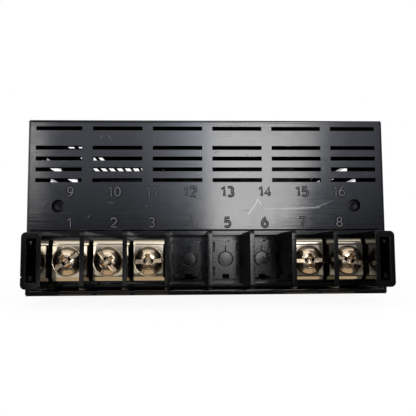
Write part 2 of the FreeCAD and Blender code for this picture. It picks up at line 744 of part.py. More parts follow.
def transformer_core():
    """Laminations with two windows: outer limbs, a middle limb twice as thick, yokes at the ends."""
    core = around(CORE_STACK / 2, CORE_H / 2, CORE_Y0, CORE_Y1)
    windows = []
    lower = (CORE_Z0 + CORE_LIMB, CORE_MIDDLE - CORE_LIMB)
    upper = (CORE_MIDDLE + CORE_LIMB, CORE_Z1 - CORE_LIMB)
    for z0, z1 in (lower, upper):
        windows.append(box(TRANSFORMER_X - CORE_STACK, TRANSFORMER_X + CORE_STACK,
                           CORE_Y0 + CORE_LIMB, CORE_Y1 - CORE_LIMB, z0, z1))
    return core.cut(windows)


def transformer_bobbin():
    """A square tube on the middle limb, with end flanges whose wings stand on the board."""
    tube = around(LIMB_HALF_X + BOBBIN_T, LIMB_HALF_Z + BOBBIN_T, COIL_Y0, COIL_Y1)
    parts = []
    for y0 in (COIL_Y0, COIL_Y1 - FLANGE_T):
        parts.append(around(COIL_HALF_X, COIL_HALF_Z, y0, y0 + FLANGE_T))
        for side in (-1, 1):
            x0, x1 = sorted((TRANSFORMER_X + side * LIMB_HALF_X, TRANSFORMER_X + side * COIL_HALF_X))
            parts.append(box(x0, x1, y0, y0 + FLANGE_T, BOARD_TOP, CORE_MIDDLE))
    bobbin = tube.fuse(parts)
    bore = around(LIMB_HALF_X, LIMB_HALF_Z, COIL_Y0 - OVERCUT, COIL_Y1 + OVERCUT)
    return bobbin.cut(bore).removeSplitter()


def transformer_winding():
    y0 = COIL_Y0 + FLANGE_T + FIT
    y1 = COIL_Y1 - FLANGE_T - FIT
    coil = around(COIL_HALF_X - FIT, COIL_HALF_Z - FIT, y0, y1)
    coil = coil.makeFillet(WINDING_R, edges_along(coil, Y_AXIS))
    return coil.cut(around(LIMB_HALF_X + BOBBIN_T, LIMB_HALF_Z + BOBBIN_T, y0 - OVERCUT, y1 + OVERCUT))


# Parts on the main board


def shunt_strip():
    """A bridge of resistance strip behind the two current terminals."""
    x0 = bay_x(FITTED_BAYS[0]) - SHUNT_T / 2
    x1 = bay_x(FITTED_BAYS[1]) + SHUNT_T / 2
    y0 = Y_PANEL + SHUNT_BACK
    y1 = y0 + SHUNT_W
    top = BOARD_TOP + SHUNT_H
    outer = box(x0, x1, y0, y1, BOARD_TOP, top)
    outer = outer.makeFillet(SHUNT_OUTER_R, edges_along(outer, Y_AXIS, lambda p: p.z > BOARD_TOP))
    inner = box(x0 + SHUNT_T, x1 - SHUNT_T, y0 - OVERCUT, y1 + OVERCUT, BOARD_TOP - OVERCUT, top - SHUNT_T)
    inner = inner.makeFillet(SHUNT_INNER_R, edges_along(inner, Y_AXIS, lambda p: p.z > BOARD_TOP))
    return outer.cut(inner)


CHIP_Y0 = Y_PANEL + CHIP_BACK
CHIP_Z0 = BOARD_TOP + CHIP_RAISE
CHIP_Z_MIDDLE = CHIP_Z0 + CHIP_T / 2


def converter_chip():
    """A dual in-line package, waisted at its parting line, with a notch at one end."""
    y0 = CHIP_Y0
    y1 = CHIP_Y0 + CHIP_L
    z1 = CHIP_Z0 + CHIP_T
    half = CHIP_W / 2
    narrow = half - CHIP_TAPER
    points = [V(CHIP_X - narrow, y0, CHIP_Z0), V(CHIP_X + narrow, y0, CHIP_Z0),
              V(CHIP_X + half, y0, CHIP_Z_MIDDLE), V(CHIP_X + narrow, y0, z1),
              V(CHIP_X - narrow, y0, z1), V(CHIP_X - half, y0, CHIP_Z_MIDDLE)]
    body = polygon_prism(points, V(0, y1 - y0, 0))
    notch = Part.makeCylinder(CHIP_NOTCH_R, CHIP_NOTCH_DEPTH + OVERCUT,
                              V(CHIP_X, y0, z1 - CHIP_NOTCH_DEPTH), Z_AXIS)
    return body.cut(notch)


def converter_legs():
    """Bent legs on both sides, from the package's parting line down to the board."""
    legs = []
    first = CHIP_Y0 + CHIP_L / 2 - (CHIP_LEGS_PER_SIDE - 1) / 2 * CHIP_LEG_PITCH
    for side in (-1, 1):
        root = CHIP_X + side * CHIP_W / 2
        knee = CHIP_X + side * CHIP_LEG_SPAN / 2
        x0, x1 = sorted((root, knee))
        d0, d1 = sorted((knee - side * CHIP_LEG_T, knee))
        for leg in range(CHIP_LEGS_PER_SIDE):
            y0 = first + leg * CHIP_LEG_PITCH - CHIP_LEG_W / 2
            y1 = y0 + CHIP_LEG_W
            top = CHIP_Z_MIDDLE + CHIP_LEG_T / 2
            shoulder = box(x0, x1, y0, y1, top - CHIP_LEG_T, top)
            down = box(d0, d1, y0, y1, BOARD_TOP, top)
            legs.append(shoulder.fuse(down).removeSplitter())
    return Part.makeCompound(legs)


def capacitor(diameter, height, back):
    """A sleeved can standing on the board."""
    return Part.makeCylinder(diameter / 2, height, V(CAP_X, Y_PANEL + back, BOARD_TOP), Z_AXIS)


def bridge_rectifier():
    """A round package with one flat side."""
    y = Y_PANEL + BRIDGE_BACK
    can = Part.makeCylinder(BRIDGE_D / 2, BRIDGE_H, V(CAP_X, y, BOARD_TOP), Z_AXIS)
    return can.cut(box(CAP_X + BRIDGE_FLAT, CAP_X + BRIDGE_D, y - BRIDGE_D, y + BRIDGE_D,
                       BOARD_TOP - OVERCUT, BOARD_TOP + BRIDGE_H + OVERCUT))


def voltage_regulator():
    """A standing power package: plastic body, metal tab with a hole, three legs."""
    half = REGULATOR_W / 2
    y = Y_PANEL + REGULATOR_BACK
    x0 = REGULATOR_X
    z0 = BOARD_TOP + REGULATOR_LEG_L
    body = box(x0 - REGULATOR_BODY_T, x0, y - half, y + half, z0, z0 + REGULATOR_BODY_H)
    tab = box(x0 - REGULATOR_TAB_T, x0, y - half, y + half, z0, z0 + REGULATOR_TAB_H)
    hole_z = z0 + (REGULATOR_BODY_H + REGULATOR_TAB_H) / 2
    hole = Part.makeCylinder(REGULATOR_HOLE_D / 2, REGULATOR_TAB_T + 2 * OVERCUT,
                             V(x0 - REGULATOR_TAB_T - OVERCUT, y, hole_z), X_AXIS)
    legs = []
    for leg in (-1, 0, 1):
        ly = y + leg * REGULATOR_LEG_PITCH
        lx = x0 - REGULATOR_BODY_T / 2
        legs.append(box(lx - REGULATOR_LEG_W / 2, lx + REGULATOR_LEG_W / 2,
                        ly - REGULATOR_LEG_W / 2, ly + REGULATOR_LEG_W / 2, BOARD_TOP, z0))
    return body.fuse([tab.cut(hole)] + legs).removeSplitter()


os.makedirs("parts", exist_ok=True)
save(case_body(), "case_body")
save(terminal_block(), "terminal_block")
for fitted in FITTED_BAYS:
    save(terminal(fitted), "terminal_%d" % fitted)
    save(clamp_washer(fitted), "clamp_washer_%d" % fitted)
    save(terminal_screw(fitted), "terminal_screw_%d" % fitted)
save(front_bezel(), "front_bezel")
save(front_window(), "front_window")
save(main_board(), "main_board")
save(display_board(), "display_board")
for place in range(1, DIGITS + 1):
    save(digit(place), "digit_%d" % place)
save(board_header(), "board_header")
save(header_pins(), "header_pins")
save(transformer_core(), "transformer_core")
save(transformer_bobbin(), "transformer_bobbin")
save(transformer_winding(), "transformer_winding")
save(shunt_strip(), "shunt_strip")
save(converter_chip(), "converter_chip")
save(converter_legs(), "converter_legs")
save(capacitor(FILTER_CAP_D, FILTER_CAP_H, FILTER_CAP_BACK), "filter_capacitor")
save(capacitor(SMOOTHING_CAP_D, SMOOTHING_CAP_H, SMOOTHING_CAP_BACK), "smoothing_capacitor")
save(bridge_rectifier(), "bridge_rectifier")
save(voltage_regulator(), "voltage_regulator")
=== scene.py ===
import math
import random

import bmesh
import bpy
from mathutils import Matrix, Vector


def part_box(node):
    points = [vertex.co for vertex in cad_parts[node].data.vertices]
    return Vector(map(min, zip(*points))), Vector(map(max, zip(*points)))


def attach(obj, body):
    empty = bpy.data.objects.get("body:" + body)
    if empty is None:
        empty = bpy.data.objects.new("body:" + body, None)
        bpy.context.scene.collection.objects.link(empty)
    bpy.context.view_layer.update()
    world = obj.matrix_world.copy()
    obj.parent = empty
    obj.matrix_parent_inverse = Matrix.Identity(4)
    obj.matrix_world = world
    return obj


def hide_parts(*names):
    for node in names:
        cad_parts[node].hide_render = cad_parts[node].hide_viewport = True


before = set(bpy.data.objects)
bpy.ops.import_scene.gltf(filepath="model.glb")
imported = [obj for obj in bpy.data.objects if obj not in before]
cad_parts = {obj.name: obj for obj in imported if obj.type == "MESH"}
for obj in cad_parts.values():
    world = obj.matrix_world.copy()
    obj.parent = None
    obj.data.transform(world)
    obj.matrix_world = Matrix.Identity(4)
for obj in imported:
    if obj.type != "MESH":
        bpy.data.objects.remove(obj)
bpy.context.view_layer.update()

# Studio
# A white floor under a white sky, a softbox before the terminal side and grey flags that the gloss
# mirrors. The camera stands low and close to the terminal block. What hangs at the wall is placed by the
# spot of the rear panel that mirrors it, in millimetres, as are the middles of the brown cards.
MM = 0.001
CAMERA_PLACE = Vector((-4.56, -178.31, 12.04)) * MM
CAMERA_YAW = -0.0351
CAMERA_PITCH = 0.0868
CAMERA_ROLL = 0.0056
SENSOR_WIDTH = 36.0
LENS_PER_SENSOR = 1.264
NEAR_CLIP = 0.01
FLOOR_HALF = 4.0
FLOOR_GLOW = 0.93
FLOOR_PAINT = (0.1, 0.1, 0.1, 1)
SKY_FILL = 0.8
SKY_WHITE = 1.0
WALL_Y = -0.455
WALL_HALF = 1.2
WALL_FOOT = -0.1
WALL_LEVEL = 1.0
WALL_TINT = (0.94, 0.99, 1.13)
WALL_LOW_LEFT = (-47, 18)
WALL_HIGH_RIGHT = (47, 46)
WALL_ACROSS = ((0.0, 1.0), (0.069, 1.25), (0.308, 1.35), (0.404, 2.7), (0.481, 5.5), (0.787, 2.8),
               (0.883, 1.3), (0.975, 1.2), (1.0, 0.3))
WALL_UP = ((0.0, 0.04), (0.09, 0.2), (0.21, 0.55), (0.33, 0.95), (0.42, 1.1), (0.55, 0.45), (0.73, 0.25))
SHADED_Z = (0.0, 0.35)
ROOF_Z = 0.6
STRIP_Y = WALL_Y + 0.005
STRIP_LEVEL = 8.5
STRIP_OUTLINE = ((-46, 21), (-42.2, 21), (-42.2, 48), (-46, 48))
STRIP_UP = ((0.09, 0.2), (0.21, 0.55), (0.33, 0.95), (0.42, 1.1))
SOFTBOX_Y = WALL_Y + 0.01
SOFTBOX_LEVEL = 11.0
SOFTBOX_OUTLINE = ((1.5, 5), (9, 5), (13, 14), (22.5, 19.5), (31, 48), (0, 48), (0, 18))
SOFTBOX_LOW_LEFT = (0, 8)
SOFTBOX_HIGH_RIGHT = (31, 48)
SOFTBOX_ACROSS = ((0.0, 0.9), (0.2, 1.0), (0.65, 0.9), (1.0, 0.4))
SOFTBOX_UP = ((0.0, 0.36), (0.14, 0.6), (0.24, 0.95), (0.32, 1.1), (0.4, 0.9), (0.48, 1.1), (0.56, 0.9),
              (0.64, 1.1), (0.72, 0.9), (0.8, 1.1), (0.88, 0.9), (1.0, 1.0))
UPPER_LEVEL = 1.8
UPPER_X = (-0.5, 0.05)
UPPER_Z = (0.24, 0.5)
FRONT_ROOF = 1.2
FRONT_ROOF_END = -0.2
TENT_GREY = 0.3
TENT_LEFT = 1.4
TENT_RIGHT = 0.15
TABLE_Z = 0.5 * MM
TABLE_GREY = 0.1
SHEET_Z = 1.0 * MM
TABLE_BROWN = 0.7
BROWN_TINT = (1.0, 0.83, 0.63)
BROWN_MIDDLES = (-33.3, -23.8, -14.3, 23.8, 33.3)
BROWN_HALF = 4.2 * MM
BROWN_Y = (-0.062, -0.04)
SHEET_OUTLINE = ((0.0, -0.085), (0.016, -0.085), (0.068, -0.45), (0.013, -0.45))
SHEET_LEVEL = 1.0
SHEET_ALONG = ((0.0, 2.4), (0.6, 2.2), (0.9, 1.9), (1.0, 0.4))
LEFT_SHEET_OUTLINE = ((-0.052, -0.1), (-0.0125, -0.1), (-0.029, -0.45), (-0.14, -0.45))
LEFT_SHEET_LEVEL = 0.9


def add_node(tree, kind, **settings):
    """A new node of a tree, with its settings made."""
    node = tree.nodes.new(kind)
    for key, value in settings.items():
        setattr(node, key, value)
    return node


def bare_tree(owner):
    """The emptied node tree of a material or a world."""
    owner.use_nodes = True
    owner.node_tree.nodes.clear()
    return owner.node_tree


def seen_or_mirrored(tree):
    """1 for rays from the camera, and for those that gloss or clear plastic sends on."""
    path = add_node(tree, "ShaderNodeLightPath")
    share = path.outputs["Is Camera Ray"]
    for kind in ("Is Glossy Ray", "Is Transmission Ray"):
        either = add_node(tree, "ShaderNodeMath", operation="MAXIMUM")
        tree.links.new(share, either.inputs[0])
        tree.links.new(path.outputs[kind], either.inputs[1])
        share = either.outputs[0]
    return share


def placed(name, data):
    """A new object of the scene around its data."""
    obj = bpy.data.objects.new(name, data)
    bpy.context.scene.collection.objects.link(obj)
    return obj


def stage_face(name, corners):
    """One face of the studio over its corners."""
    mesh = bpy.data.meshes.new(name)
    mesh.from_pydata([tuple(corner) for corner in corners], [], [tuple(range(len(corners)))])
    obj = placed(name, mesh)
    return obj


def ramp_of(tree, stops):
    """A colour ramp of greys from (place, level) pairs, where levels may pass 1."""
    node = add_node(tree, "ShaderNodeValToRGB")
    elements = node.color_ramp.elements
    while len(elements) < len(stops):
        elements.new(1.0)
    for element, (place, level) in zip(elements, stops):
        element.position = place
        element.color = (level, level, level, 1)
    return node


def lit_card(name, corners, level, ramps=(), tint=(1, 1, 1)):
    """A card that glows, shaded by ramps along its axes, each as (axis, from, to, stops) in metres.
    Only mirrored rays meet it: no view shows it, and it lights gloss alone."""
    card = stage_face(name, corners)
    material = bpy.data.materials.new(name)
    tree = bare_tree(material)
    place = add_node(tree, "ShaderNodeTexCoord")
    split = add_node(tree, "ShaderNodeSeparateXYZ")
    tree.links.new(place.outputs["Object"], split.inputs[0])
    glow = add_node(tree, "ShaderNodeEmission")
    glow.inputs["Color"].default_value = (*tint, 1)
    glow.inputs["Strength"].default_value = level
    shaded = None
    for axis, start, end, stops in ramps:
        share = add_node(tree, "ShaderNodeMapRange")
        share.inputs["From Min"].default_value = start
        share.inputs["From Max"].default_value = end
        tree.links.new(split.outputs[axis], share.inputs["Value"])
        ramp = ramp_of(tree, stops)
        tree.links.new(share.outputs["Result"], ramp.inputs["Fac"])
        product = add_node(tree, "ShaderNodeMath", operation="MULTIPLY")
        product.inputs[0].default_value = level
        if shaded:
            tree.links.new(shaded, product.inputs[0])
        tree.links.new(ramp.outputs["Color"], product.inputs[1])
        shaded = product.outputs[0]
        tree.links.new(shaded, glow.inputs["Strength"])
    out = add_node(tree, "ShaderNodeOutputMaterial")
    tree.links.new(glow.outputs[0], out.inputs["Surface"])
    card.data.materials.append(material)
    card.visible_camera = False
    card.visible_shadow = False
    card.visible_diffuse = False
    card.visible_transmission = False


def studio_floor():
    floor = stage_face("floor", [(-FLOOR_HALF, -FLOOR_HALF, 0), (FLOOR_HALF, -FLOOR_HALF, 0),
                                 (FLOOR_HALF, FLOOR_HALF, 0), (-FLOOR_HALF, FLOOR_HALF, 0)])
    material = bpy.data.materials.new("floor")
    tree = bare_tree(material)
    paint = add_node(tree, "ShaderNodeBsdfDiffuse")
    paint.inputs["Color"].default_value = FLOOR_PAINT
    level = add_node(tree, "ShaderNodeMath", operation="MULTIPLY")
    level.inputs[1].default_value = FLOOR_GLOW
    tree.links.new(seen_or_mirrored(tree), level.inputs[0])
    glow = add_node(tree, "ShaderNodeEmission")
    tree.links.new(level.outputs[0], glow.inputs["Strength"])
    both = add_node(tree, "ShaderNodeAddShader")
    tree.links.new(paint.outputs[0], both.inputs[0])
    tree.links.new(glow.outputs[0], both.inputs[1])
    out = add_node(tree, "ShaderNodeOutputMaterial")
    tree.links.new(both.outputs[0], out.inputs["Surface"])
    floor.data.materials.append(material)


def studio_sky():
    world = bpy.data.worlds.new("sky")
    bpy.context.scene.world = world
    tree = bare_tree(world)
    choice = add_node(tree, "ShaderNodeMixShader")
    tree.links.new(seen_or_mirrored(tree), choice.inputs["Fac"])
    for socket, level in ((1, SKY_FILL), (2, SKY_WHITE)):
        shade = add_node(tree, "ShaderNodeBackground")
        shade.inputs["Color"].default_value = (1, 1, 1, 1)
        shade.inputs["Strength"].default_value = level
        tree.links.new(shade.outputs[0], choice.inputs[socket])
    out = add_node(tree, "ShaderNodeOutputWorld")
    tree.links.new(choice.outputs[0], out.inputs["Surface"])


def studio_camera():
    data = bpy.data.cameras.new("camera")
    data.sensor_width = SENSOR_WIDTH
    data.lens = SENSOR_WIDTH * LENS_PER_SENSOR
    data.clip_start = NEAR_CLIP
    camera = placed("camera", data)
    turn = Matrix.Rotation(CAMERA_YAW, 4, "Z") @ Matrix.Rotation(CAMERA_PITCH, 4, "X")
    turn = turn @ Matrix.Rotation(CAMERA_ROLL, 4, "Y") @ Matrix.Rotation(math.pi / 2, 4, "X")
    camera.matrix_world = Matrix.Translation(CAMERA_PLACE) @ turn
    bpy.context.scene.camera = camera


bpy.context.scene.view_settings.view_transform = "Standard"
studio_floor()
studio_sky()
studio_camera()


def mirrored(panel_x, panel_z, y):
    """The spot at depth y that a point of the rear panel, in millimetres, mirrors to the camera."""
    point = Vector((panel_x, 0, panel_z)) * MM
    point.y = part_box("case_body")[0].y
    reach = (point.y - y) / (point.y - CAMERA_PLACE.y)
    there = point + (point - CAMERA_PLACE) * reach
    return Vector((there.x, y, there.z))


def box_card(x0, x1, y0, y1, z0, z1):
    """Corners of a card, upright where its depths are the same and otherwise level at z0."""
    if y0 == y1:
        return [(x0, y0, z0), (x1, y0, z0), (x1, y0, z1), (x0, y0, z1)]
    return [(x0, y0, z0), (x1, y0, z0), (x1, y1, z0), (x0, y1, z0)]


wall_low = mirrored(*WALL_LOW_LEFT, WALL_Y)
wall_high = mirrored(*WALL_HIGH_RIGHT, WALL_Y)
lit_card("grey_wall", box_card(-WALL_HALF, WALL_HALF, WALL_Y, WALL_Y, WALL_FOOT, ROOF_Z), WALL_LEVEL,
         [("X", wall_low.x, wall_high.x, WALL_ACROSS), ("Z", *SHADED_Z, WALL_UP)], WALL_TINT)
lit_card("left_strip", [mirrored(*spot, STRIP_Y) for spot in STRIP_OUTLINE], STRIP_LEVEL,
         [("Z", *SHADED_Z, STRIP_UP)])
softbox_low = mirrored(*SOFTBOX_LOW_LEFT, SOFTBOX_Y)
softbox_high = mirrored(*SOFTBOX_HIGH_RIGHT, SOFTBOX_Y)
lit_card("softbox", [mirrored(*spot, SOFTBOX_Y) for spot in SOFTBOX_OUTLINE], SOFTBOX_LEVEL,
         [("X", softbox_low.x, softbox_high.x, SOFTBOX_ACROSS),
          ("Z", softbox_low.z, softbox_high.z, SOFTBOX_UP)])
lit_card("upper_light", box_card(*UPPER_X, SOFTBOX_Y, SOFTBOX_Y, *UPPER_Z), UPPER_LEVEL)
lit_card("front_roof", box_card(-WALL_HALF, WALL_HALF, WALL_Y, FRONT_ROOF_END, ROOF_Z, ROOF_Z),
         FRONT_ROOF)
lit_card("grey_roof", box_card(-WALL_HALF, WALL_HALF, FRONT_ROOF_END, -WALL_Y, ROOF_Z, ROOF_Z),
         TENT_GREY)
lit_card("dark_table", box_card(-WALL_HALF, WALL_HALF, WALL_Y, 0.0, TABLE_Z, TABLE_Z), TABLE_GREY)
for count, middle in enumerate(BROWN_MIDDLES, 1):
    under_bay = box_card(middle * MM - BROWN_HALF, middle * MM + BROWN_HALF, *BROWN_Y, SHEET_Z, SHEET_Z)
    lit_card("brown_card_%d" % count, under_bay, TABLE_BROWN, tint=BROWN_TINT)
lit_card("pale_sheet", [(x, y, SHEET_Z) for x, y in SHEET_OUTLINE], SHEET_LEVEL,
         [("Y", SHEET_OUTLINE[2][1], SHEET_OUTLINE[0][1], SHEET_ALONG)])
lit_card("left_sheet", [(x, y, SHEET_Z) for x, y in LEFT_SHEET_OUTLINE], LEFT_SHEET_LEVEL)
for side, level in ((-1, TENT_LEFT), (1, TENT_RIGHT)):
    flat_side = [(side * WALL_HALF, WALL_Y, 0), (side * WALL_HALF, -WALL_Y, 0),
                 (side * WALL_HALF, -WALL_Y, ROOF_Z), (side * WALL_HALF, WALL_Y, ROOF_Z)]
    lit_card("grey_side_%d" % (side + 2), flat_side, level)


# Case
# A tube of black plastic, moulded in one piece with its vented rear panel. Its edges are softened by
# the mould, and the flow of the plastic left faint level streaks in its gloss. The vents and the inside
# are dull.
CASE_BLACK = (0.002, 0.002, 0.004, 1)
CASE_GREY = (0.013, 0.013, 0.018, 1)
CASE_ROUGHNESS = 0.1
CASE_STREAKS = 14e-6
CASE_GRAIN = 3e-6
CASE_EDGE = 0.07 * MM
OUTER_EDGE = 0.3 * MM
OUTER_STEPS = 4
OUTER_ZONE = 1.5 * MM
INSIDE = 1.25 * MM
SKIN = 0.05 * MM
MERGE = 1e-6
FLAT_ANGLE = math.radians(0.5)
SHARP_ANGLE = math.radians(30)
TERMINAL_SIDE = -0.9
STREAK_SCALES = (80, 45, 2600)
NOISE_MIDDLE = (0.3, 0.7)
ROUGHNESS_SPREAD = (0.75, 1.3)


def add_sockets(tree, in_out, kind, *names):
    """Named sockets of one kind, through which a group takes in or puts out."""
    for name in names:
        tree.interface.new_socket(name=name, in_out=in_out, socket_type="NodeSocket" + kind)


def made_surface():
    """The marks of making: two tones in patches, level lines, fine grain and slow waves in the gloss.
    Lines, Grain and Waves are heights in metres."""
    group = bpy.data.node_groups.new("made_surface", "ShaderNodeTree")
    add_sockets(group, "INPUT", "Color", "Colour", "Second colour")
    add_sockets(group, "INPUT", "Float", "Roughness", "Lines", "Grain", "Waves")
    add_sockets(group, "OUTPUT", "Color", "Colour")
    add_sockets(group, "OUTPUT", "Float", "Roughness")
    add_sockets(group, "OUTPUT", "Vector", "Normal")
    given = add_node(group, "NodeGroupInput")
    put_out = add_node(group, "NodeGroupOutput")
    place = add_node(group, "ShaderNodeTexCoord")

    def noise(scale, detail, stretch=(1, 1, 1)):
        mapping = add_node(group, "ShaderNodeMapping")
        mapping.inputs["Scale"].default_value = stretch
        texture = add_node(group, "ShaderNodeTexNoise")
        texture.inputs["Scale"].default_value = scale
        texture.inputs["Detail"].default_value = detail
        group.links.new(place.outputs["Object"], mapping.inputs["Vector"])
        group.links.new(mapping.outputs[0], texture.inputs["Vector"])
        return texture.outputs["Fac"]

    def combined(operation, first, second):
        node = add_node(group, "ShaderNodeMath", operation=operation)
        group.links.new(first, node.inputs[0])
        group.links.new(second, node.inputs[1])
        return node.outputs[0]

    patches = noise(scale=180, detail=6)
    tone = add_node(group, "ShaderNodeMix", data_type="RGBA")
    group.links.new(patches, tone.inputs["Factor"])
    group.links.new(given.outputs["Colour"], tone.inputs["A"])
    group.links.new(given.outputs["Second colour"], tone.inputs["B"])
    group.links.new(tone.outputs["Result"], put_out.inputs["Colour"])

    spread = add_node(group, "ShaderNodeMapRange")
    spread.inputs["From Min"].default_value = NOISE_MIDDLE[0]
    spread.inputs["From Max"].default_value = NOISE_MIDDLE[1]
    spread.inputs["To Min"].default_value = ROUGHNESS_SPREAD[0]
    spread.inputs["To Max"].default_value = ROUGHNESS_SPREAD[1]
    group.links.new(noise(scale=420, detail=5), spread.inputs["Value"])
    roughness = combined("MULTIPLY", spread.outputs["Result"], given.outputs["Roughness"])
    group.links.new(roughness, put_out.inputs["Roughness"])

    lines = combined("MULTIPLY", noise(scale=1, detail=4, stretch=STREAK_SCALES), given.outputs["Lines"])
    grain = combined("MULTIPLY", noise(scale=3600, detail=2), given.outputs["Grain"])
    waves = combined("MULTIPLY", noise(scale=70, detail=1), given.outputs["Waves"])
    bump = add_node(group, "ShaderNodeBump")
    bump.inputs["Distance"].default_value = 1.0
    group.links.new(combined("ADD", combined("ADD", lines, grain), waves), bump.inputs["Height"])
    group.links.new(bump.outputs[0], put_out.inputs["Normal"])
    return group


surface_group = made_surface()


def made_material(name, colour, second, roughness, lines=0.0, grain=0.0, waves=0.0, metal=0.0, gloss=0.5):
    """A Principled material over the marks of making, with its constants on its own sockets."""
    material = bpy.data.materials.new(name)
    material.use_nodes = True
    tree = material.node_tree
    shader = tree.nodes["Principled BSDF"]
    shader.inputs["Metallic"].default_value = metal
    shader.inputs["Specular IOR Level"].default_value = gloss
    marks = add_node(tree, "ShaderNodeGroup", node_tree=surface_group, name="marks")
    for socket, value in (("Colour", colour), ("Second colour", second), ("Roughness", roughness),
                          ("Lines", lines), ("Grain", grain), ("Waves", waves)):
        marks.inputs[socket].default_value = value
    tree.links.new(marks.outputs["Colour"], shader.inputs["Base Color"])
    tree.links.new(marks.outputs["Roughness"], shader.inputs["Roughness"])
    tree.links.new(marks.outputs["Normal"], shader.inputs["Normal"])
    return material


def new_piece(name, mesh, material, body):
    """A finished mesh as a piece at the origin that rides on a body."""
    mesh.name = name
    mesh.materials.clear()
    mesh.materials.append(material)
    obj = placed(name, mesh)
    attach(obj, body)
    return obj


def plain_mesh(obj):
    """What an object's modifiers make of it, as a plain mesh. The object itself goes."""
    bpy.context.view_layer.update()
    graph = bpy.context.evaluated_depsgraph_get()
    mesh = bpy.data.meshes.new_from_object(obj.evaluated_get(graph), preserve_all_data_layers=True,
                                           depsgraph=graph)
    bpy.data.objects.remove(obj)
    return mesh


def worked_mesh(name, shape):
    """What was worked on as a shape, as a mesh. The shape itself goes."""
    mesh = bpy.data.meshes.new(name)
    shape.to_mesh(mesh)
    shape.free()
    return mesh


def merged(node):
    """A copy of a solid's mesh with its corners joined and its flat faces made whole."""
    shape = bmesh.new()
    shape.from_mesh(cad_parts[node].data)
    bmesh.ops.remove_doubles(shape, verts=shape.verts, dist=MERGE)
    bmesh.ops.dissolve_limit(shape, angle_limit=FLAT_ANGLE, verts=shape.verts, edges=shape.edges)
    for face in shape.faces:
        face.smooth = True
    return worked_mesh(node, shape)


def shade_by_area(mesh, dome=None):
    """Smooth shading whose normals lean to the larger faces, so that flat faces stay flat. A dome, given
    as its middle height and its bend per metre, tilts what faces the terminal side."""
    leaning = [Vector() for _ in mesh.vertices]
    for face in mesh.polygons:
        for corner in face.vertices:
            leaning[corner] += face.normal * face.area
    leaning = [normal.normalized() for normal in leaning]
    if dome:
        middle, bend = dome
        for normal, point in zip(leaning, mesh.vertices):
            if normal.y < TERMINAL_SIDE:
                normal.z += (point.co.z - middle) * bend
                normal.normalize()
    mesh.normals_split_custom_set_from_vertices(leaning)


def rounded(mesh, radius, steps=2, limit="ANGLE"):
    """The mesh with its sharp edges rounded, or those with a weight, and its flat faces shaded flat."""
    obj = placed("rounded", mesh)
    bevel = obj.modifiers.new("rounded", "BEVEL")
    bevel.width = radius
    bevel.segments = steps
    bevel.limit_method = limit
    bevel.angle_limit = SHARP_ANGLE
    bevel.use_clamp_overlap = False
    soft = plain_mesh(obj)
    shade_by_area(soft)
    return soft


def soft_edged(node, name, material, body, radius):
    """A node of the frame with soft edges, standing for that node."""
    piece = new_piece(name, rounded(merged(node), radius), material, body)
    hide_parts(node)
    return piece


case_black = made_material("case_black", CASE_BLACK, CASE_GREY, CASE_ROUGHNESS, lines=CASE_STREAKS,
                           grain=CASE_GRAIN, waves=1.5e-6)
case_dull = made_material("case_dull", CASE_BLACK, CASE_GREY, roughness=0.8, grain=4e-6, gloss=0.0)
panel_low, panel_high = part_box("case_body")
case_mesh = merged("case_body")
outer = case_mesh.attributes.new("bevel_weight_edge", "FLOAT", "EDGE")
for edge in case_mesh.edges:
    ends = [case_mesh.vertices[end].co for end in edge.vertices]
    outer.data[edge.index].value = float(all(
        end.y < panel_low.y + MERGE
        and (abs(end.x) > panel_high.x - OUTER_ZONE or end.z > panel_high.z - OUTER_ZONE)
        for end in ends))
case_mesh = rounded(case_mesh, OUTER_EDGE, OUTER_STEPS, "WEIGHT")
case_mesh = rounded(case_mesh, CASE_EDGE)
case = new_piece("case", case_mesh, case_black, "meter")
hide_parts("case_body")
case.data.materials.append(case_dull)
for face in case.data.polygons:
    spot = face.center
    if (abs(spot.x) < panel_high.x - INSIDE and spot.y > panel_low.y + OUTER_EDGE
            and panel_low.z + SKIN < spot.z < panel_high.z - SKIN):
        face.material_index = 1


# Recess floors
# The floors of the two round recesses in the rear panel, of the same black plastic. An ejector pin
# pressed each of them dull and left a low ring.
RECESS_X = 37.55 * MM
RECESS_Z = 24.1 * MM
RECESS_DEPTH = 0.8 * MM
FLOOR_PROFILE = ((0.0, -0.08), (0.75, -0.08), (0.82, -0.2), (0.95, -0.2), (1.02, -0.08), (1.55, -0.08),
                 (1.58, 0.1), (0.0, 0.1))
PANEL_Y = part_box("case_body")[0].y


def bridge(shape, near, far):
    """Faces between two rings of corners, of which one may be a single point."""
    for step in range(max(len(near), len(far))):
        corners = (near[step % len(near)], near[(step + 1) % len(near)],
                   far[(step + 1) % len(far)], far[step % len(far)])
        shape.faces.new(list(dict.fromkeys(corners)))


def lathe(profile, steps=48, closed=False):
    """A mesh turned about the Y axis from (radius, y) points. They start and end on the axis, or go round
    to the first again."""
    shape = bmesh.new()
    rings = []
    for radius, y in profile:
        around = steps if radius else 1
        angles = [2 * math.pi * step / around for step in range(around)]
        rings.append([shape.verts.new((radius * math.cos(a), y, radius * math.sin(a))) for a in angles])
    if closed:
        rings.append(rings[0])
    for near, far in zip(rings, rings[1:]):
        bridge(shape, near, far)
    bmesh.ops.recalc_face_normals(shape, faces=shape.faces)
    for face in shape.faces:
        face.smooth = True
    return worked_mesh("turned", shape)


recess_dull = made_material("recess_dull", CASE_BLACK, CASE_GREY, roughness=0.4, grain=4e-6, gloss=0.15)
for side in (-1, 1):
    recess_floor = lathe([(radius * MM, y * MM) for radius, y in FLOOR_PROFILE])
    recess_floor.transform(Matrix.Translation((side * RECESS_X, PANEL_Y + RECESS_DEPTH, RECESS_Z)))
    shade_by_area(recess_floor)
    new_piece("recess_floor_%d" % (side + 2), recess_floor, recess_dull, "meter")


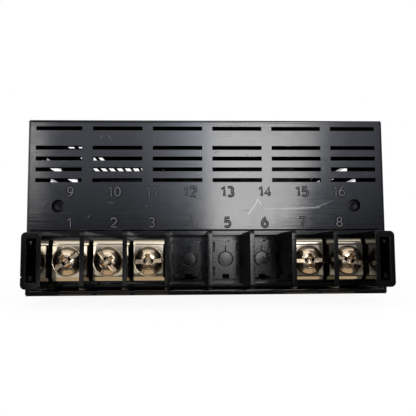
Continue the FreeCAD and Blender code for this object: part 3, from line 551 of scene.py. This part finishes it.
# Raised numbers
# The sixteen terminal numbers stand on the rear panel as low, round-topped beads, cut into the mould
# with a round cutter that left dull flanks. Two rows of eight; a painted highlight greys their crests.
PITCH = 9.52 * MM
BAYS = 8
NUMBER_HEIGHT = 2.3 * MM
NUMBER_BEAD = 0.36 * MM
BEAD_STEPS = 16
NUMBER_RISE = 0.16 * MM
NUMBER_TOP = 0.8
# Painted highlight: the lighter greys that the bead crests take.
CREST_HIGHLIGHT_GREY = (0.13, 0.13, 0.135, 1)
CREST_HIGHLIGHT_PALE = (0.26, 0.26, 0.27, 1)
NUMBER_STEP = 1.75 * MM
NUMBER_NARROW = 0.3
NUMBER_ROWS = ((9, 27.75 * MM), (1, 19.95 * MM))
NUMBER_SHIFT = 0.2 * MM
FIRST_SHIFT = -1.2 * MM
FULL_TURN = (90, 450)


def arc(middle, height, half_w, half_h, start, end, steps=14):
    """Points of an upright ellipse's arc, between two angles in degrees."""
    points = []
    for step in range(steps + 1):
        angle = math.radians(start + (end - start) * step / steps)
        points.append((middle + half_w * math.cos(angle), height + half_h * math.sin(angle)))
    return points


def digit_strokes(digit):
    """The strokes of a digit, one unit high about a middle line. A nine is a six turned over."""
    half = NUMBER_NARROW
    if digit == 0:
        return [arc(0, 0.5, half, 0.5, *FULL_TURN)]
    if digit == 1:
        return [[(-0.2, 0.76), (0.08, 1), (0.08, 0)]]
    if digit == 2:
        return [arc(0, 0.71, half, 0.29, 170, -35) + [(-half, 0), (half, 0)]]
    if digit == 3:
        return [arc(-0.02, 0.75, 0.27, 0.25, 150, -80), arc(0, 0.26, half, 0.26, 80, -150)]
    if digit == 4:
        return [[(0.13, 0), (0.13, 1), (-0.33, 0.3), (0.34, 0.3)]]
    if digit == 5:
        return [[(0.26, 1), (-0.2, 1), (-0.25, 0.54)] + arc(0, 0.32, half, 0.32, 125, -150)]
    if digit == 7:
        return [[(-half, 1), (half, 1), (-0.05, 0)]]
    if digit == 8:
        return [arc(0, 0.75, 0.25, 0.25, *FULL_TURN), arc(0, 0.26, half, 0.26, *FULL_TURN)]
    if digit == 9:
        return [[(-x, 1 - z) for x, z in stroke] for stroke in digit_strokes(6)]
    return [arc(0, 0.31, half, 0.31, *FULL_TURN), arc(0.34, 0.31, 0.64, 0.72, 180, 108)]


def stroke_object(name, strokes):
    """Lists of (x, y, z) points as the splines of one curve object."""
    curve = bpy.data.curves.new(name, "CURVE")
    curve.dimensions = "3D"
    for stroke in strokes:
        spline = curve.splines.new("POLY")
        spline.points.add(len(stroke) - 1)
        for point, place in zip(spline.points, stroke):
            point.co = (*place, 1)
    return placed(name, curve)


def number_strokes():
    """Every stroke of the sixteen numbers on the panel."""
    strokes = []
    for first, middle_z in NUMBER_ROWS:
        for bay in range(BAYS):
            digits = [int(sign) for sign in str(first + bay)]
            x = (bay - (BAYS - 1) / 2) * PITCH + (FIRST_SHIFT if bay == 0 else NUMBER_SHIFT)
            x -= (len(digits) - 1) / 2 * NUMBER_STEP
            for digit in digits:
                for stroke in digit_strokes(digit):
                    strokes.append([(x + u * NUMBER_HEIGHT, PANEL_Y, middle_z + (v - 0.5) * NUMBER_HEIGHT)
                                    for u, v in stroke])
                x += NUMBER_STEP
    return strokes


def bead_tree(material):
    """A round bead along each curve."""
    tree = bpy.data.node_groups.new("bead", "GeometryNodeTree")
    add_sockets(tree, "INPUT", "Geometry", "Geometry")
    add_sockets(tree, "INPUT", "Float", "Radius")
    add_sockets(tree, "OUTPUT", "Geometry", "Geometry")
    given = add_node(tree, "NodeGroupInput")
    put_out = add_node(tree, "NodeGroupOutput")
    profile = add_node(tree, "GeometryNodeCurvePrimitiveCircle")
    profile.inputs["Resolution"].default_value = BEAD_STEPS
    sweep = add_node(tree, "GeometryNodeCurveToMesh")
    sweep.inputs["Fill Caps"].default_value = True
    smooth = add_node(tree, "GeometryNodeSetShadeSmooth")
    real = add_node(tree, "GeometryNodeRealizeInstances")
    finish = add_node(tree, "GeometryNodeSetMaterial")
    finish.inputs["Material"].default_value = material
    tree.links.new(given.outputs["Radius"], profile.inputs["Radius"])
    tree.links.new(given.outputs["Geometry"], sweep.inputs["Curve"])
    tree.links.new(profile.outputs["Curve"], sweep.inputs["Profile Curve"])
    tree.links.new(sweep.outputs[0], smooth.inputs["Geometry"])
    tree.links.new(smooth.outputs[0], real.inputs["Geometry"])
    tree.links.new(real.outputs[0], finish.inputs["Geometry"])
    tree.links.new(finish.outputs[0], put_out.inputs["Geometry"])
    return tree


def through_nodes(obj, tree, **sizes):
    """The plain mesh that a node tree makes of an object, with its named inputs set."""
    modifier = obj.modifiers.new(tree.name, "NODES")
    modifier.node_group = tree
    for item in tree.interface.items_tree:
        if item.in_out == "INPUT" and item.name in sizes:
            modifier[item.identifier] = sizes[item.name]
    return plain_mesh(obj)


bead = bead_tree(case_black)
number_mesh = through_nodes(stroke_object("numbers", number_strokes()), bead, Radius=NUMBER_BEAD)
for point in number_mesh.vertices:
    out = (PANEL_Y - point.co.y) / NUMBER_BEAD
    point.co.y = PANEL_Y - NUMBER_RISE * out * abs(out)
numbers = new_piece("raised_numbers", number_mesh, case_dull, "meter")
number_crest_highlight = made_material("number_crest_highlight", CREST_HIGHLIGHT_GREY, CREST_HIGHLIGHT_PALE, roughness=0.5, grain=4e-6)
numbers.data.materials.append(number_crest_highlight)
# Painted highlight: the faces near the crest of each bead take the lighter grey.
for face in numbers.data.polygons:
    if PANEL_Y - face.center.y > NUMBER_TOP * NUMBER_RISE:
        face.material_index = 1


# Scratches
# Use left short scratches on the rear panel, whose torn edges turned the plastic grey. A forked one and
# a long rub only burnished it, the rub at a slight slope.
FORKED_SCRATCH = (((12.8, 25.8), (12.0, 24.2), (11.0, 22.9), (10.3, 21.9)), ((12.9, 25.6), (13.6, 24.4)))
LONG_RUB = (((14.2, 23.3), (19.0, 23.4), (24.0, 23.5), (28.7, 23.6)), ((27.4, 23.6), (32.2, 25.5)))
FORKED_WIDTH = 0.1 * MM
RUB_WIDTH = 0.16 * MM
# The directions in which the burnished faces lean, each as one
LEANS = {"forked_scratch": (0.0, -1.0, 0.0), "long_rub": (-0.022, -1.0, -0.013)}
SHORT_WIDTH = 0.05 * MM
SCRATCH_FLAT = 0.08
SCRATCH_COUNT = 26
SCRATCH_SEED = 5
SCRATCH_FIELD = ((-42.0, 42.0), (20.0, 43.0))
SCRATCH_LENGTH = (0.3, 1.6)
BURNISH = 0.85
RUB_BURNISH = 0.62
GREY_PLASTIC = (0.35, 0.35, 0.36, 1)
DARK_PLASTIC = (0.12, 0.12, 0.13, 1)


def short_scratches():
    """Short strokes of any direction, scattered over the panel with a fixed seed."""
    chance = random.Random(SCRATCH_SEED)
    strokes = []
    for _ in range(SCRATCH_COUNT):
        x = chance.uniform(*SCRATCH_FIELD[0])
        z = chance.uniform(*SCRATCH_FIELD[1])
        angle = chance.uniform(0, math.pi)
        half = chance.uniform(*SCRATCH_LENGTH) / 2
        reach = (half * math.cos(angle), half * math.sin(angle))
        strokes.append(((x - reach[0], z - reach[1]), (x + reach[0], z + reach[1])))
    return strokes


burnished = made_material("burnished", CASE_BLACK, CASE_GREY, CASE_ROUGHNESS, grain=CASE_GRAIN,
                          gloss=BURNISH)
rubbed = made_material("rubbed", CASE_BLACK, CASE_GREY, CASE_ROUGHNESS, lines=CASE_STREAKS,
                       grain=CASE_GRAIN, gloss=RUB_BURNISH)
torn_grey = made_material("torn_grey", GREY_PLASTIC, DARK_PLASTIC, roughness=0.6, grain=4e-6)
for name, strokes, width, finish in (("forked_scratch", FORKED_SCRATCH, FORKED_WIDTH, burnished),
                                     ("long_rub", LONG_RUB, RUB_WIDTH, rubbed),
                                     ("short_scratches", short_scratches(), SHORT_WIDTH, torn_grey)):
    lines = [[(x * MM, PANEL_Y, z * MM) for x, z in stroke] for stroke in strokes]
    scratch_mesh = through_nodes(stroke_object(name, lines), bead, Radius=width)
    for point in scratch_mesh.vertices:
        point.co.y = PANEL_Y + (point.co.y - PANEL_Y) * SCRATCH_FLAT
    if name in LEANS:
        leaning = Vector(LEANS[name]).normalized()
        scratch_mesh.normals_split_custom_set_from_vertices([leaning] * len(scratch_mesh.vertices))
    new_piece(name, scratch_mesh, finish, "meter")


# Terminal block
# One black moulding of a harder, duller plastic: eight bays between nine walls, and a loop at each end.
# It snaps into the opening of the rear panel. The mould left a ring on each pedestal, and a seam and the
# disc of an ejector pin on those of the empty bays.
BLOCK_BLACK = (0.003, 0.003, 0.003, 1)
BLOCK_GREY = (0.007, 0.007, 0.007, 1)
BLOCK_EDGE = 0.08 * MM
BAY_Z = 10.7 * MM
RING_RADIUS = 1.9 * MM
RING_BEAD = 0.15 * MM
RING_STEPS = 36
SEAM_LENGTH = 1.6 * MM
EMPTY_BAYS = (4, 5, 6)
MARK_PROFILE = ((0.0, -0.05), (0.8, -0.046), (1.4, -0.037), (1.66, -0.032), (1.7, -0.03), (1.72, 0.1),
                (0.0, 0.1))
PEDESTAL_DEPTH = 4.9 * MM
PEDESTAL_Y = PANEL_Y + PEDESTAL_DEPTH
block_black = made_material("block_black", BLOCK_BLACK, BLOCK_GREY, roughness=0.09, lines=0.6e-6,
                            grain=10e-6, waves=8e-6, gloss=0.32)
soft_edged("terminal_block", "barrier_block", block_black, "meter", BLOCK_EDGE)
ring_strokes = []
for bay in range(1, BAYS + 1):
    middle = (bay - (BAYS + 1) / 2) * PITCH
    ring = arc(middle, BAY_Z, RING_RADIUS, RING_RADIUS, *FULL_TURN, RING_STEPS)
    ring_strokes.append([(x, PEDESTAL_Y, z) for x, z in ring])
    if bay in EMPTY_BAYS:
        ring_strokes.append([(middle, PEDESTAL_Y, BAY_Z + RING_RADIUS),
                             (middle, PEDESTAL_Y, BAY_Z + RING_RADIUS + SEAM_LENGTH)])
        mark = lathe([(radius * MM, y * MM) for radius, y in MARK_PROFILE])
        mark.transform(Matrix.Translation((middle, PEDESTAL_Y, BAY_Z)))
        shade_by_area(mark)
        new_piece("ejector_mark_%d" % bay, mark, block_black, "meter")
ring_mesh = through_nodes(stroke_object("rings", ring_strokes), bead, Radius=RING_BEAD)
new_piece("pedestal_rings", ring_mesh, block_black, "meter")


# Terminals and clamp washers
# Nickel-plated brass strips, bent over a former, and square steel washers pressed with a dish. The
# strips show drawing lines along their bends, the washers a satin grain. Three dishes have a rolled lip;
# in the other two, painted shade darkens the dish round the screw.
FITTED_BAYS = (1, 2, 3, 7, 8)
NICKEL = (0.56, 0.49, 0.38, 1)
WARM_NICKEL = (0.46, 0.39, 0.28, 1)
PLATE_EDGE = 0.12 * MM
WASHER_BENDS = {1: 5.0, 2: 13.0, 3: 13.0, 7: 3.0, 8: 3.0}
LIPPED_BAYS = (1, 2, 3)
# Painted shade: the dark colours of the dish round the screws of bays 7 and 8.
DISH_SHADE = (0.06, 0.05, 0.04, 1)
DEEP_DISH_SHADE = (0.03, 0.025, 0.02, 1)
DISH_RADIUS = 3.9 * MM
LIP_PROFILE = ((3.29, 0.1), (3.29, -0.06), (3.4, -0.16), (3.52, -0.14), (3.66, 0.03), (3.66, 0.1))
plated_strip = made_material("plated_strip", NICKEL, WARM_NICKEL, roughness=0.13, lines=1.5e-6,
                             grain=0.8e-6, waves=6e-6, metal=1.0)
plated_washer = made_material("plated_washer", NICKEL, WARM_NICKEL, roughness=0.08, lines=0.4e-6,
                              grain=1.6e-6, waves=8e-6, metal=1.0)
painted_dish_shade = made_material("painted_dish_shade", DISH_SHADE, DEEP_DISH_SHADE, roughness=0.45, grain=1.6e-6,
                               metal=1.0)
for bay in FITTED_BAYS:
    soft_edged("terminal_%d" % bay, "terminal_strip_%d" % bay, plated_strip, "meter",
               PLATE_EDGE)
    washer = soft_edged("clamp_washer_%d" % bay, "dished_washer_%d" % bay, plated_washer,
                        "clamp_%d" % bay, PLATE_EDGE)
    low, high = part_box("clamp_washer_%d" % bay)
    face_middle = Vector(((low.x + high.x) / 2, low.y, (low.z + high.z) / 2))
    shade_by_area(washer.data, (face_middle.z, WASHER_BENDS[bay]))
    if bay in LIPPED_BAYS:
        lip = lathe([(radius * MM, y * MM) for radius, y in LIP_PROFILE], closed=True)
        lip.transform(Matrix.Translation(face_middle))
        new_piece("washer_lip_%d" % bay, lip, plated_washer, "clamp_%d" % bay)
    else:
        # Painted shade: the dish faces round the screw take a dark metal colour.
        washer.data.materials.append(painted_dish_shade)
        for face in washer.data.polygons:
            inward = face.center - face_middle
            if inward.y > MERGE and math.hypot(inward.x, inward.z) < DISH_RADIUS:
                face.material_index = 1


# Terminal screws
# Nickel-plated pan heads with a slot and a cross recess over a rolled thread. The heads were cold
# formed, so their recess edges are soft.
SCREW_NICKEL = (0.6, 0.49, 0.36, 1)
SCREW_BROWN = (0.5, 0.39, 0.27, 1)
SCREW_ANGLES = {1: 36.0, 2: -51.0, 3: 3.0, 7: 2.0, 8: -17.0}
HEAD_RADIUS = 3.25 * MM
HEAD_HEIGHT = 2.4 * MM
HEAD_RIM = 0.5 * MM
HEAD_EDGE = 0.07 * MM
HEAD_SQUARENESS = 2.3
DOME_BANDS = 16
SLOT_WIDTH = 0.95 * MM
SLOT_DEPTH = 1.15 * MM
CROSS_WIDTH = 1.1 * MM
CROSS_REACH = 1.85 * MM
CROSS_FOOT = 0.8 * MM
CROSS_DEPTH = 1.65 * MM
ARM_TAPER = 0.8
WELL_TOP = 2.1
WELL_FOOT = 0.6
WELL_DEEPER = 0.2 * MM
SHANK_LENGTH = 8.0 * MM
THREAD_PITCH = 0.6 * MM
THREAD_CREST = 1.66 * MM
THREAD_ROOT = 1.34 * MM
THREAD_STEPS = 8
TURN_STEPS = 32


def prism(name, outline, y0, y1):
    """A block over an outline in X and Z, from one Y to another, for cutting or joining."""
    shape = bmesh.new()
    near = [shape.verts.new((x, y0, z)) for x, z in outline]
    far = [shape.verts.new((x, y1, z)) for x, z in outline]
    shape.faces.new(near)
    shape.faces.new(far)
    bridge(shape, near, far)
    bmesh.ops.recalc_face_normals(shape, faces=shape.faces)
    return worked_mesh(name, shape)


def oblong(half_x, half_z):
    """The corners of a rectangle about the axis."""
    return [(-half_x, -half_z), (half_x, -half_z), (half_x, half_z), (-half_x, half_z)]


def tapered(name, top, foot, y0, y1):
    """A block that narrows from one oblong at y0 to another at y1."""
    mesh = prism(name, oblong(*top), y0, y1)
    for point, (x, z) in zip(mesh.vertices[4:], oblong(*foot)):
        point.co.x = x
        point.co.z = z
    return mesh


def cut_by(mesh, cutters):
    """The mesh with every cutter taken out of it."""
    obj = placed("cut", mesh)
    tools = []
    for cutter in cutters:
        tool = placed("tool", cutter)
        modifier = obj.modifiers.new("cut", "BOOLEAN")
        modifier.operation = "DIFFERENCE"
        modifier.solver = "EXACT"
        modifier.object = tool
        tools.append(tool)
    done = plain_mesh(obj)
    for tool in tools:
        bpy.data.objects.remove(tool)
    return done


def screw_head():
    """The head about the Y axis, its seat at zero and its top towards -Y."""
    dome = HEAD_HEIGHT - HEAD_RIM
    power = 2 / HEAD_SQUARENESS
    profile = []
    for band in range(DOME_BANDS + 1):
        angle = math.pi / 2 * band / DOME_BANDS
        lift = max(math.cos(angle), 0) ** power
        profile.append((HEAD_RADIUS * math.sin(angle) ** power, -HEAD_RIM - dome * lift))
    profile += [(HEAD_RADIUS, 0), (THREAD_ROOT, 0), (THREAD_ROOT, THREAD_PITCH), (0, THREAD_PITCH)]
    above = -HEAD_HEIGHT - MM
    slot = prism("slot", oblong(2 * HEAD_RADIUS, SLOT_WIDTH / 2), above, SLOT_DEPTH - HEAD_HEIGHT)
    slope = (CROSS_REACH - CROSS_FOOT) / CROSS_DEPTH
    reach = CROSS_REACH + slope * MM
    half = CROSS_WIDTH / 2
    floor = CROSS_DEPTH - HEAD_HEIGHT
    narrow = half * ARM_TAPER
    well_top = (half * WELL_TOP, half * WELL_TOP)
    well_foot = (half * WELL_FOOT, half * WELL_FOOT)
    cross = [tapered("arm", (half, reach), (narrow, CROSS_FOOT), above, floor),
             tapered("arm", (reach, half), (CROSS_FOOT, narrow), above, floor),
             tapered("well", well_top, well_foot, above, floor + WELL_DEEPER)]
    return rounded(cut_by(lathe(profile), [slot] + cross), HEAD_EDGE)


def thread():
    """The shank about the Y axis: a ridge that climbs one pitch in each turn, and a pointed end."""
    shape = bmesh.new()
    rings = []
    rows = round(SHANK_LENGTH / THREAD_PITCH * THREAD_STEPS)
    for row in range(rows + 1):
        y = SHANK_LENGTH * row / rows
        ring = []
        for step in range(TURN_STEPS):
            phase = (y / THREAD_PITCH + step / TURN_STEPS) % 1
            radius = THREAD_ROOT + (THREAD_CREST - THREAD_ROOT) * abs(2 * phase - 1)
            radius = min(radius, THREAD_ROOT + (SHANK_LENGTH - y) / 2)
            angle = 2 * math.pi * step / TURN_STEPS
            ring.append(shape.verts.new((radius * math.cos(angle), y, radius * math.sin(angle))))
        rings.append(ring)
    for near, far in zip(rings, rings[1:]):
        bridge(shape, near, far)
    shape.faces.new(rings[0])
    shape.faces.new(rings[-1])
    bmesh.ops.recalc_face_normals(shape, faces=shape.faces)
    return worked_mesh("thread", shape)


def joined(name, meshes):
    """Several meshes as one."""
    shape = bmesh.new()
    for mesh in meshes:
        shape.from_mesh(mesh)
    return worked_mesh(name, shape)


plated_screw = made_material("plated_screw", SCREW_NICKEL, SCREW_BROWN, roughness=0.18, lines=0.3e-6,
                             grain=4e-6, waves=10e-6, metal=1.0)
whole_screw = joined("whole_screw", [screw_head(), thread()])
for bay in FITTED_BAYS:
    low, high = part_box("terminal_screw_%d" % bay)
    seat = Vector(((low.x + high.x) / 2, high.y - SHANK_LENGTH, (low.z + high.z) / 2))
    turn = Matrix.Rotation(math.radians(SCREW_ANGLES[bay]), 4, Vector((0, -1, 0)))
    mesh = whole_screw.copy()
    mesh.transform(Matrix.Translation(seat) @ turn)
    shade_by_area(mesh)
    screw = new_piece("screw_%d" % bay, mesh, plated_screw, "screw_%d" % bay)
    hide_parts("terminal_screw_%d" % bay)


# Main board and display board
# Two sheets of woven glass laminate under dark green lacquer. Etched copper shows through the lacquer
# as slightly raised tracks; the main board slides into the guide ribs of the case.
LACQUER = (0.006, 0.022, 0.012, 1)
TRACK_LACQUER = (0.012, 0.05, 0.024, 1)
TRACK_CELL = 3.0 * MM
TRACK_WIDTH = 0.16
TRACK_RISE = 20e-6
TRACK_DISORDER = 0.6
CELL_HALF = 0.5
BOARD_ROUGHNESS = 0.35
BOARD_EDGE = 0.1 * MM


def track_pattern():
    """Tracks: the square borders between cells, as a colour and a height."""
    group = bpy.data.node_groups.new("track_pattern", "ShaderNodeTree")
    add_sockets(group, "INPUT", "Color", "Board", "Track")
    add_sockets(group, "OUTPUT", "Color", "Colour")
    add_sockets(group, "OUTPUT", "Float", "Height")
    given = add_node(group, "NodeGroupInput")
    put_out = add_node(group, "NodeGroupOutput")
    place = add_node(group, "ShaderNodeTexCoord")
    cells = add_node(group, "ShaderNodeTexVoronoi", feature="F1", distance="CHEBYCHEV")
    cells.inputs["Scale"].default_value = 1 / TRACK_CELL
    cells.inputs["Randomness"].default_value = TRACK_DISORDER
    edge = add_node(group, "ShaderNodeMapRange")
    edge.inputs["From Min"].default_value = CELL_HALF - TRACK_WIDTH
    edge.inputs["From Max"].default_value = CELL_HALF - TRACK_WIDTH / 2
    tone = add_node(group, "ShaderNodeMix", data_type="RGBA")
    rise = add_node(group, "ShaderNodeMath", operation="MULTIPLY")
    rise.inputs[1].default_value = TRACK_RISE
    group.links.new(place.outputs["Object"], cells.inputs["Vector"])
    group.links.new(cells.outputs["Distance"], edge.inputs["Value"])
    group.links.new(edge.outputs["Result"], tone.inputs["Factor"])
    group.links.new(given.outputs["Board"], tone.inputs["A"])
    group.links.new(given.outputs["Track"], tone.inputs["B"])
    group.links.new(tone.outputs["Result"], put_out.inputs["Colour"])
    group.links.new(edge.outputs["Result"], rise.inputs[0])
    group.links.new(rise.outputs[0], put_out.inputs["Height"])
    return group


board_green = bpy.data.materials.new("board_green")
board_green.use_nodes = True
board_tree = board_green.node_tree
board_shader = board_tree.nodes["Principled BSDF"]
board_shader.inputs["Roughness"].default_value = BOARD_ROUGHNESS
board_tracks = add_node(board_tree, "ShaderNodeGroup", node_tree=track_pattern())
board_tracks.inputs["Board"].default_value = LACQUER
board_tracks.inputs["Track"].default_value = TRACK_LACQUER
board_bump = add_node(board_tree, "ShaderNodeBump")
board_bump.inputs["Distance"].default_value = 1.0
board_tree.links.new(board_tracks.outputs["Colour"], board_shader.inputs["Base Color"])
board_tree.links.new(board_tracks.outputs["Height"], board_bump.inputs["Height"])
board_tree.links.new(board_bump.outputs[0], board_shader.inputs["Normal"])
for board in ("main_board", "display_board"):
    soft_edged(board, board + "_laminate", board_green, "meter", BOARD_EDGE)


# Pin header
# A black nylon strip that carries ten square pins of tinned brass. The pins are bent once, to join the
# two boards at right angles.
NYLON_BLACK = (0.006, 0.006, 0.006, 1)
NYLON_GREY = (0.012, 0.012, 0.012, 1)
TIN = (0.72, 0.7, 0.66, 1)
DULL_TIN = (0.55, 0.54, 0.52, 1)
HEADER_EDGE = 0.12 * MM
PIN_EDGE = 0.06 * MM
black_nylon = made_material("black_nylon", NYLON_BLACK, NYLON_GREY, roughness=0.45, grain=2e-6)
tinned = made_material("tinned", TIN, DULL_TIN, roughness=0.25, lines=0.5e-6, grain=0.8e-6, metal=1.0)
soft_edged("board_header", "header_strip", black_nylon, "meter", HEADER_EDGE)
soft_edged("header_pins", "header_pin_row", tinned, "meter", PIN_EDGE)


# Supply transformer
# A stack of varnished steel laminations through a cream nylon bobbin, the stack coloured nearly black:
# dark varnish, with painted shade for the dark inside of the case. The coil is wound with enamelled wire
# and closed with yellow polyester tape.
# Dark varnish and painted shade: the laminations are coloured nearly black for the dark inside of the
# case.
STEEL_AND_SHADE = (0.012, 0.0115, 0.011, 1)
RUST_AND_SHADE = (0.01, 0.008, 0.006, 1)
CREAM = (0.62, 0.56, 0.42, 1)
DULL_CREAM = (0.52, 0.45, 0.32, 1)
TAPE_YELLOW = (0.66, 0.42, 0.03, 1)
TAPE_OCHRE = (0.52, 0.3, 0.02, 1)
LAMINATION = 0.5 * MM
TAPE_TURN = 5.0 * MM
# The width of a band of the wave texture at a scale of 1
WAVE_TURN = 2 * math.pi / 20
CORE_EDGE = 0.1 * MM
BOBBIN_EDGE = 0.15 * MM
COIL_EDGE = 0.2 * MM


def banded_material(name, colour, second, roughness, direction, period, depth, metal=0.0):
    """A made material whose surface runs in bands across one axis, with a groove of a given depth each.
    The period is a band's width."""
    material = made_material(name, colour, second, roughness, grain=1e-6, metal=metal)
    tree = material.node_tree
    shader = tree.nodes["Principled BSDF"]
    place = add_node(tree, "ShaderNodeTexCoord")
    bands = add_node(tree, "ShaderNodeTexWave", wave_type="BANDS", bands_direction=direction,
                     wave_profile="SAW")
    bands.inputs["Scale"].default_value = WAVE_TURN / period
    rise = add_node(tree, "ShaderNodeMath", operation="MULTIPLY")
    rise.inputs[1].default_value = depth
    bump = add_node(tree, "ShaderNodeBump")
    bump.inputs["Distance"].default_value = 1.0
    tree.links.new(place.outputs["Object"], bands.inputs["Vector"])
    tree.links.new(bands.outputs["Fac"], rise.inputs[0])
    tree.links.new(rise.outputs[0], bump.inputs["Height"])
    tree.links.new(tree.nodes["marks"].outputs["Normal"], bump.inputs["Normal"])
    tree.links.new(bump.outputs[0], shader.inputs["Normal"])
    return material


# Painted shade: the near-black lamination colours stand for the shade inside the case.
laminations = banded_material("laminations", STEEL_AND_SHADE, RUST_AND_SHADE, roughness=0.4, direction="X",
                              period=LAMINATION, depth=30e-6, metal=0.8)
bobbin_cream = made_material("bobbin_cream", CREAM, DULL_CREAM, roughness=0.4, grain=1.5e-6)
coil_tape = banded_material("coil_tape", TAPE_YELLOW, TAPE_OCHRE, roughness=0.25, direction="Y",
                            period=TAPE_TURN, depth=60e-6)
soft_edged("transformer_core", "core_stack", laminations, "meter", CORE_EDGE)
soft_edged("transformer_bobbin", "bobbin", bobbin_cream, "meter", BOBBIN_EDGE)
soft_edged("transformer_winding", "coil", coil_tape, "meter", COIL_EDGE)


# Parts on the main board
# The shunt is a bent strip of copper-manganese alloy. Black epoxy packages with tinned legs, and two
# aluminium cans in shrunk sleeves, stand round the transformer.
COPPER_ALLOY = (0.6, 0.34, 0.2, 1)
DARK_ALLOY = (0.42, 0.22, 0.13, 1)
EPOXY = (0.008, 0.008, 0.008, 1)
GREY_EPOXY = (0.016, 0.016, 0.017, 1)
SLEEVE = (0.01, 0.015, 0.05, 1)
SLEEVE_LIGHT = (0.02, 0.028, 0.08, 1)
shunt_alloy = made_material("shunt_alloy", COPPER_ALLOY, DARK_ALLOY, roughness=0.3, lines=2e-6, grain=1e-6,
                            metal=1.0)
chip_epoxy = made_material("chip_epoxy", EPOXY, GREY_EPOXY, roughness=0.5, grain=4e-6)
can_sleeve = made_material("can_sleeve", SLEEVE, SLEEVE_LIGHT, roughness=0.2, grain=0.5e-6, waves=20e-6)
for node, name, finish, slot, edge in (
        ("shunt_strip", "shunt", shunt_alloy, "shunt_alloy", 0.1),
        ("converter_chip", "converter_package", chip_epoxy, "chip_epoxy", 0.1),
        ("converter_legs", "converter_leg_rows", tinned, "pin_metal", 0.04),
        ("filter_capacitor", "filter_can", can_sleeve, "capacitor_sleeve", 0.4),
        ("smoothing_capacitor", "smoothing_can", can_sleeve, "capacitor_sleeve", 0.4),
        ("bridge_rectifier", "bridge_package", chip_epoxy, "chip_epoxy", 0.15),
        ("voltage_regulator", "regulator_package", chip_epoxy, "chip_epoxy", 0.12)):
    soft_edged(node, name, finish, "meter", edge * MM)


# LED digits
# Four grey-faced blocks. Each has seven slanted light wells filled with milky epoxy, and a round one
# for the point.
DIGIT_FACE = (0.012, 0.012, 0.013, 1)
DIGIT_FACE_LIGHT = (0.02, 0.02, 0.021, 1)
MILKY = (0.62, 0.55, 0.52, 1)
MILKY_DEEP = (0.5, 0.42, 0.4, 1)
DIGITS = 4
DIGIT_EDGE = 0.1 * MM
SEGMENT_THICK = 1.4 * MM
SEGMENT_GAP = 0.25 * MM
SEGMENT_DEPTH = 0.4 * MM
SEGMENT_SINK = 0.04 * MM
SEGMENT_WIDE = 7.0 * MM
SEGMENT_HIGH = 14.0 * MM
SEGMENT_SLANT = math.tan(math.radians(8))
SEGMENT_FIT = 0.02 * MM
POINT_RADIUS = 0.8 * MM
POINT_OUT = 5.2 * MM
POINT_STEPS = 24


def segment_outlines():
    """The seven slanted bars about the digit's middle, as the digit is seen from behind."""
    half_w = SEGMENT_WIDE / 2
    half_h = SEGMENT_HIGH / 4
    bars = [(0, up * 2 * half_h, half_w, True) for up in (-1, 0, 1)]
    for side in (-1, 1):
        for up in (-1, 1):
            bars.append((side * half_w, up * half_h, half_h, False))
    tip = SEGMENT_THICK / 2 - SEGMENT_FIT
    outlines = []
    for middle_x, middle_z, half, lying in bars:
        end = half - SEGMENT_GAP - SEGMENT_FIT
        outline = [(-end, 0), (tip - end, tip), (end - tip, tip),
                   (end, 0), (end - tip, -tip), (tip - end, -tip)]
        if not lying:
            outline = [(v, u) for u, v in outline]
        outlines.append([(-(middle_x + u) - (middle_z + v) * SEGMENT_SLANT, middle_z + v)
                         for u, v in outline])
    return outlines


digit_grey = made_material("digit_grey", DIGIT_FACE, DIGIT_FACE_LIGHT, roughness=0.35, grain=1.5e-6)
milky_epoxy = made_material("milky_epoxy", MILKY, MILKY_DEEP, roughness=0.25, grain=0.8e-6)
for digit in range(1, DIGITS + 1):
    node = "digit_%d" % digit
    soft_edged(node, "digit_block_%d" % digit, digit_grey, "meter", DIGIT_EDGE)
    low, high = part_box(node)
    floor = high.y - SEGMENT_DEPTH
    wells = [prism("well", outline, floor - SEGMENT_SINK, high.y - SEGMENT_SINK)
             for outline in segment_outlines()]
    point = lathe([(0, -SEGMENT_DEPTH), (POINT_RADIUS, -SEGMENT_DEPTH), (POINT_RADIUS, SEGMENT_FIT),
                   (0, SEGMENT_FIT)], POINT_STEPS)
    point.transform(Matrix.Translation((-POINT_OUT, high.y, -SEGMENT_HIGH / 2)))
    inserts = joined("wells", wells + [point])
    inserts.transform(Matrix.Translation(((low.x + high.x) / 2, 0, (low.z + high.z) / 2)))
    new_piece("digit_wells_%d" % digit, inserts, milky_epoxy, "meter")


# Bezel and window
# A satin black cap snapped over the front of the case, with the mould's fine spark texture. A pane of
# clear red acrylic is held behind its opening.
BEZEL_BLACK = (0.008, 0.008, 0.009, 1)
BEZEL_GREY = (0.011, 0.011, 0.012, 1)
ACRYLIC = (0.5, 0.012, 0.01, 1)
ACRYLIC_DEEP = (0.46, 0.01, 0.009, 1)
ACRYLIC_IOR = 1.49
BEZEL_EDGE = 0.25 * MM
PANE_EDGE = 0.15 * MM
bezel_black = made_material("bezel_black", BEZEL_BLACK, BEZEL_GREY, roughness=0.42, grain=5e-6, gloss=0.4)
soft_edged("front_bezel", "bezel", bezel_black, "meter", BEZEL_EDGE)
red_acrylic = made_material("red_acrylic", ACRYLIC, ACRYLIC_DEEP, roughness=0.04, waves=4e-6)
acrylic_shader = red_acrylic.node_tree.nodes["Principled BSDF"]
acrylic_shader.inputs["Transmission Weight"].default_value = 1.0
acrylic_shader.inputs["IOR"].default_value = ACRYLIC_IOR
soft_edged("front_window", "window_pane", red_acrylic, "meter", PANE_EDGE)
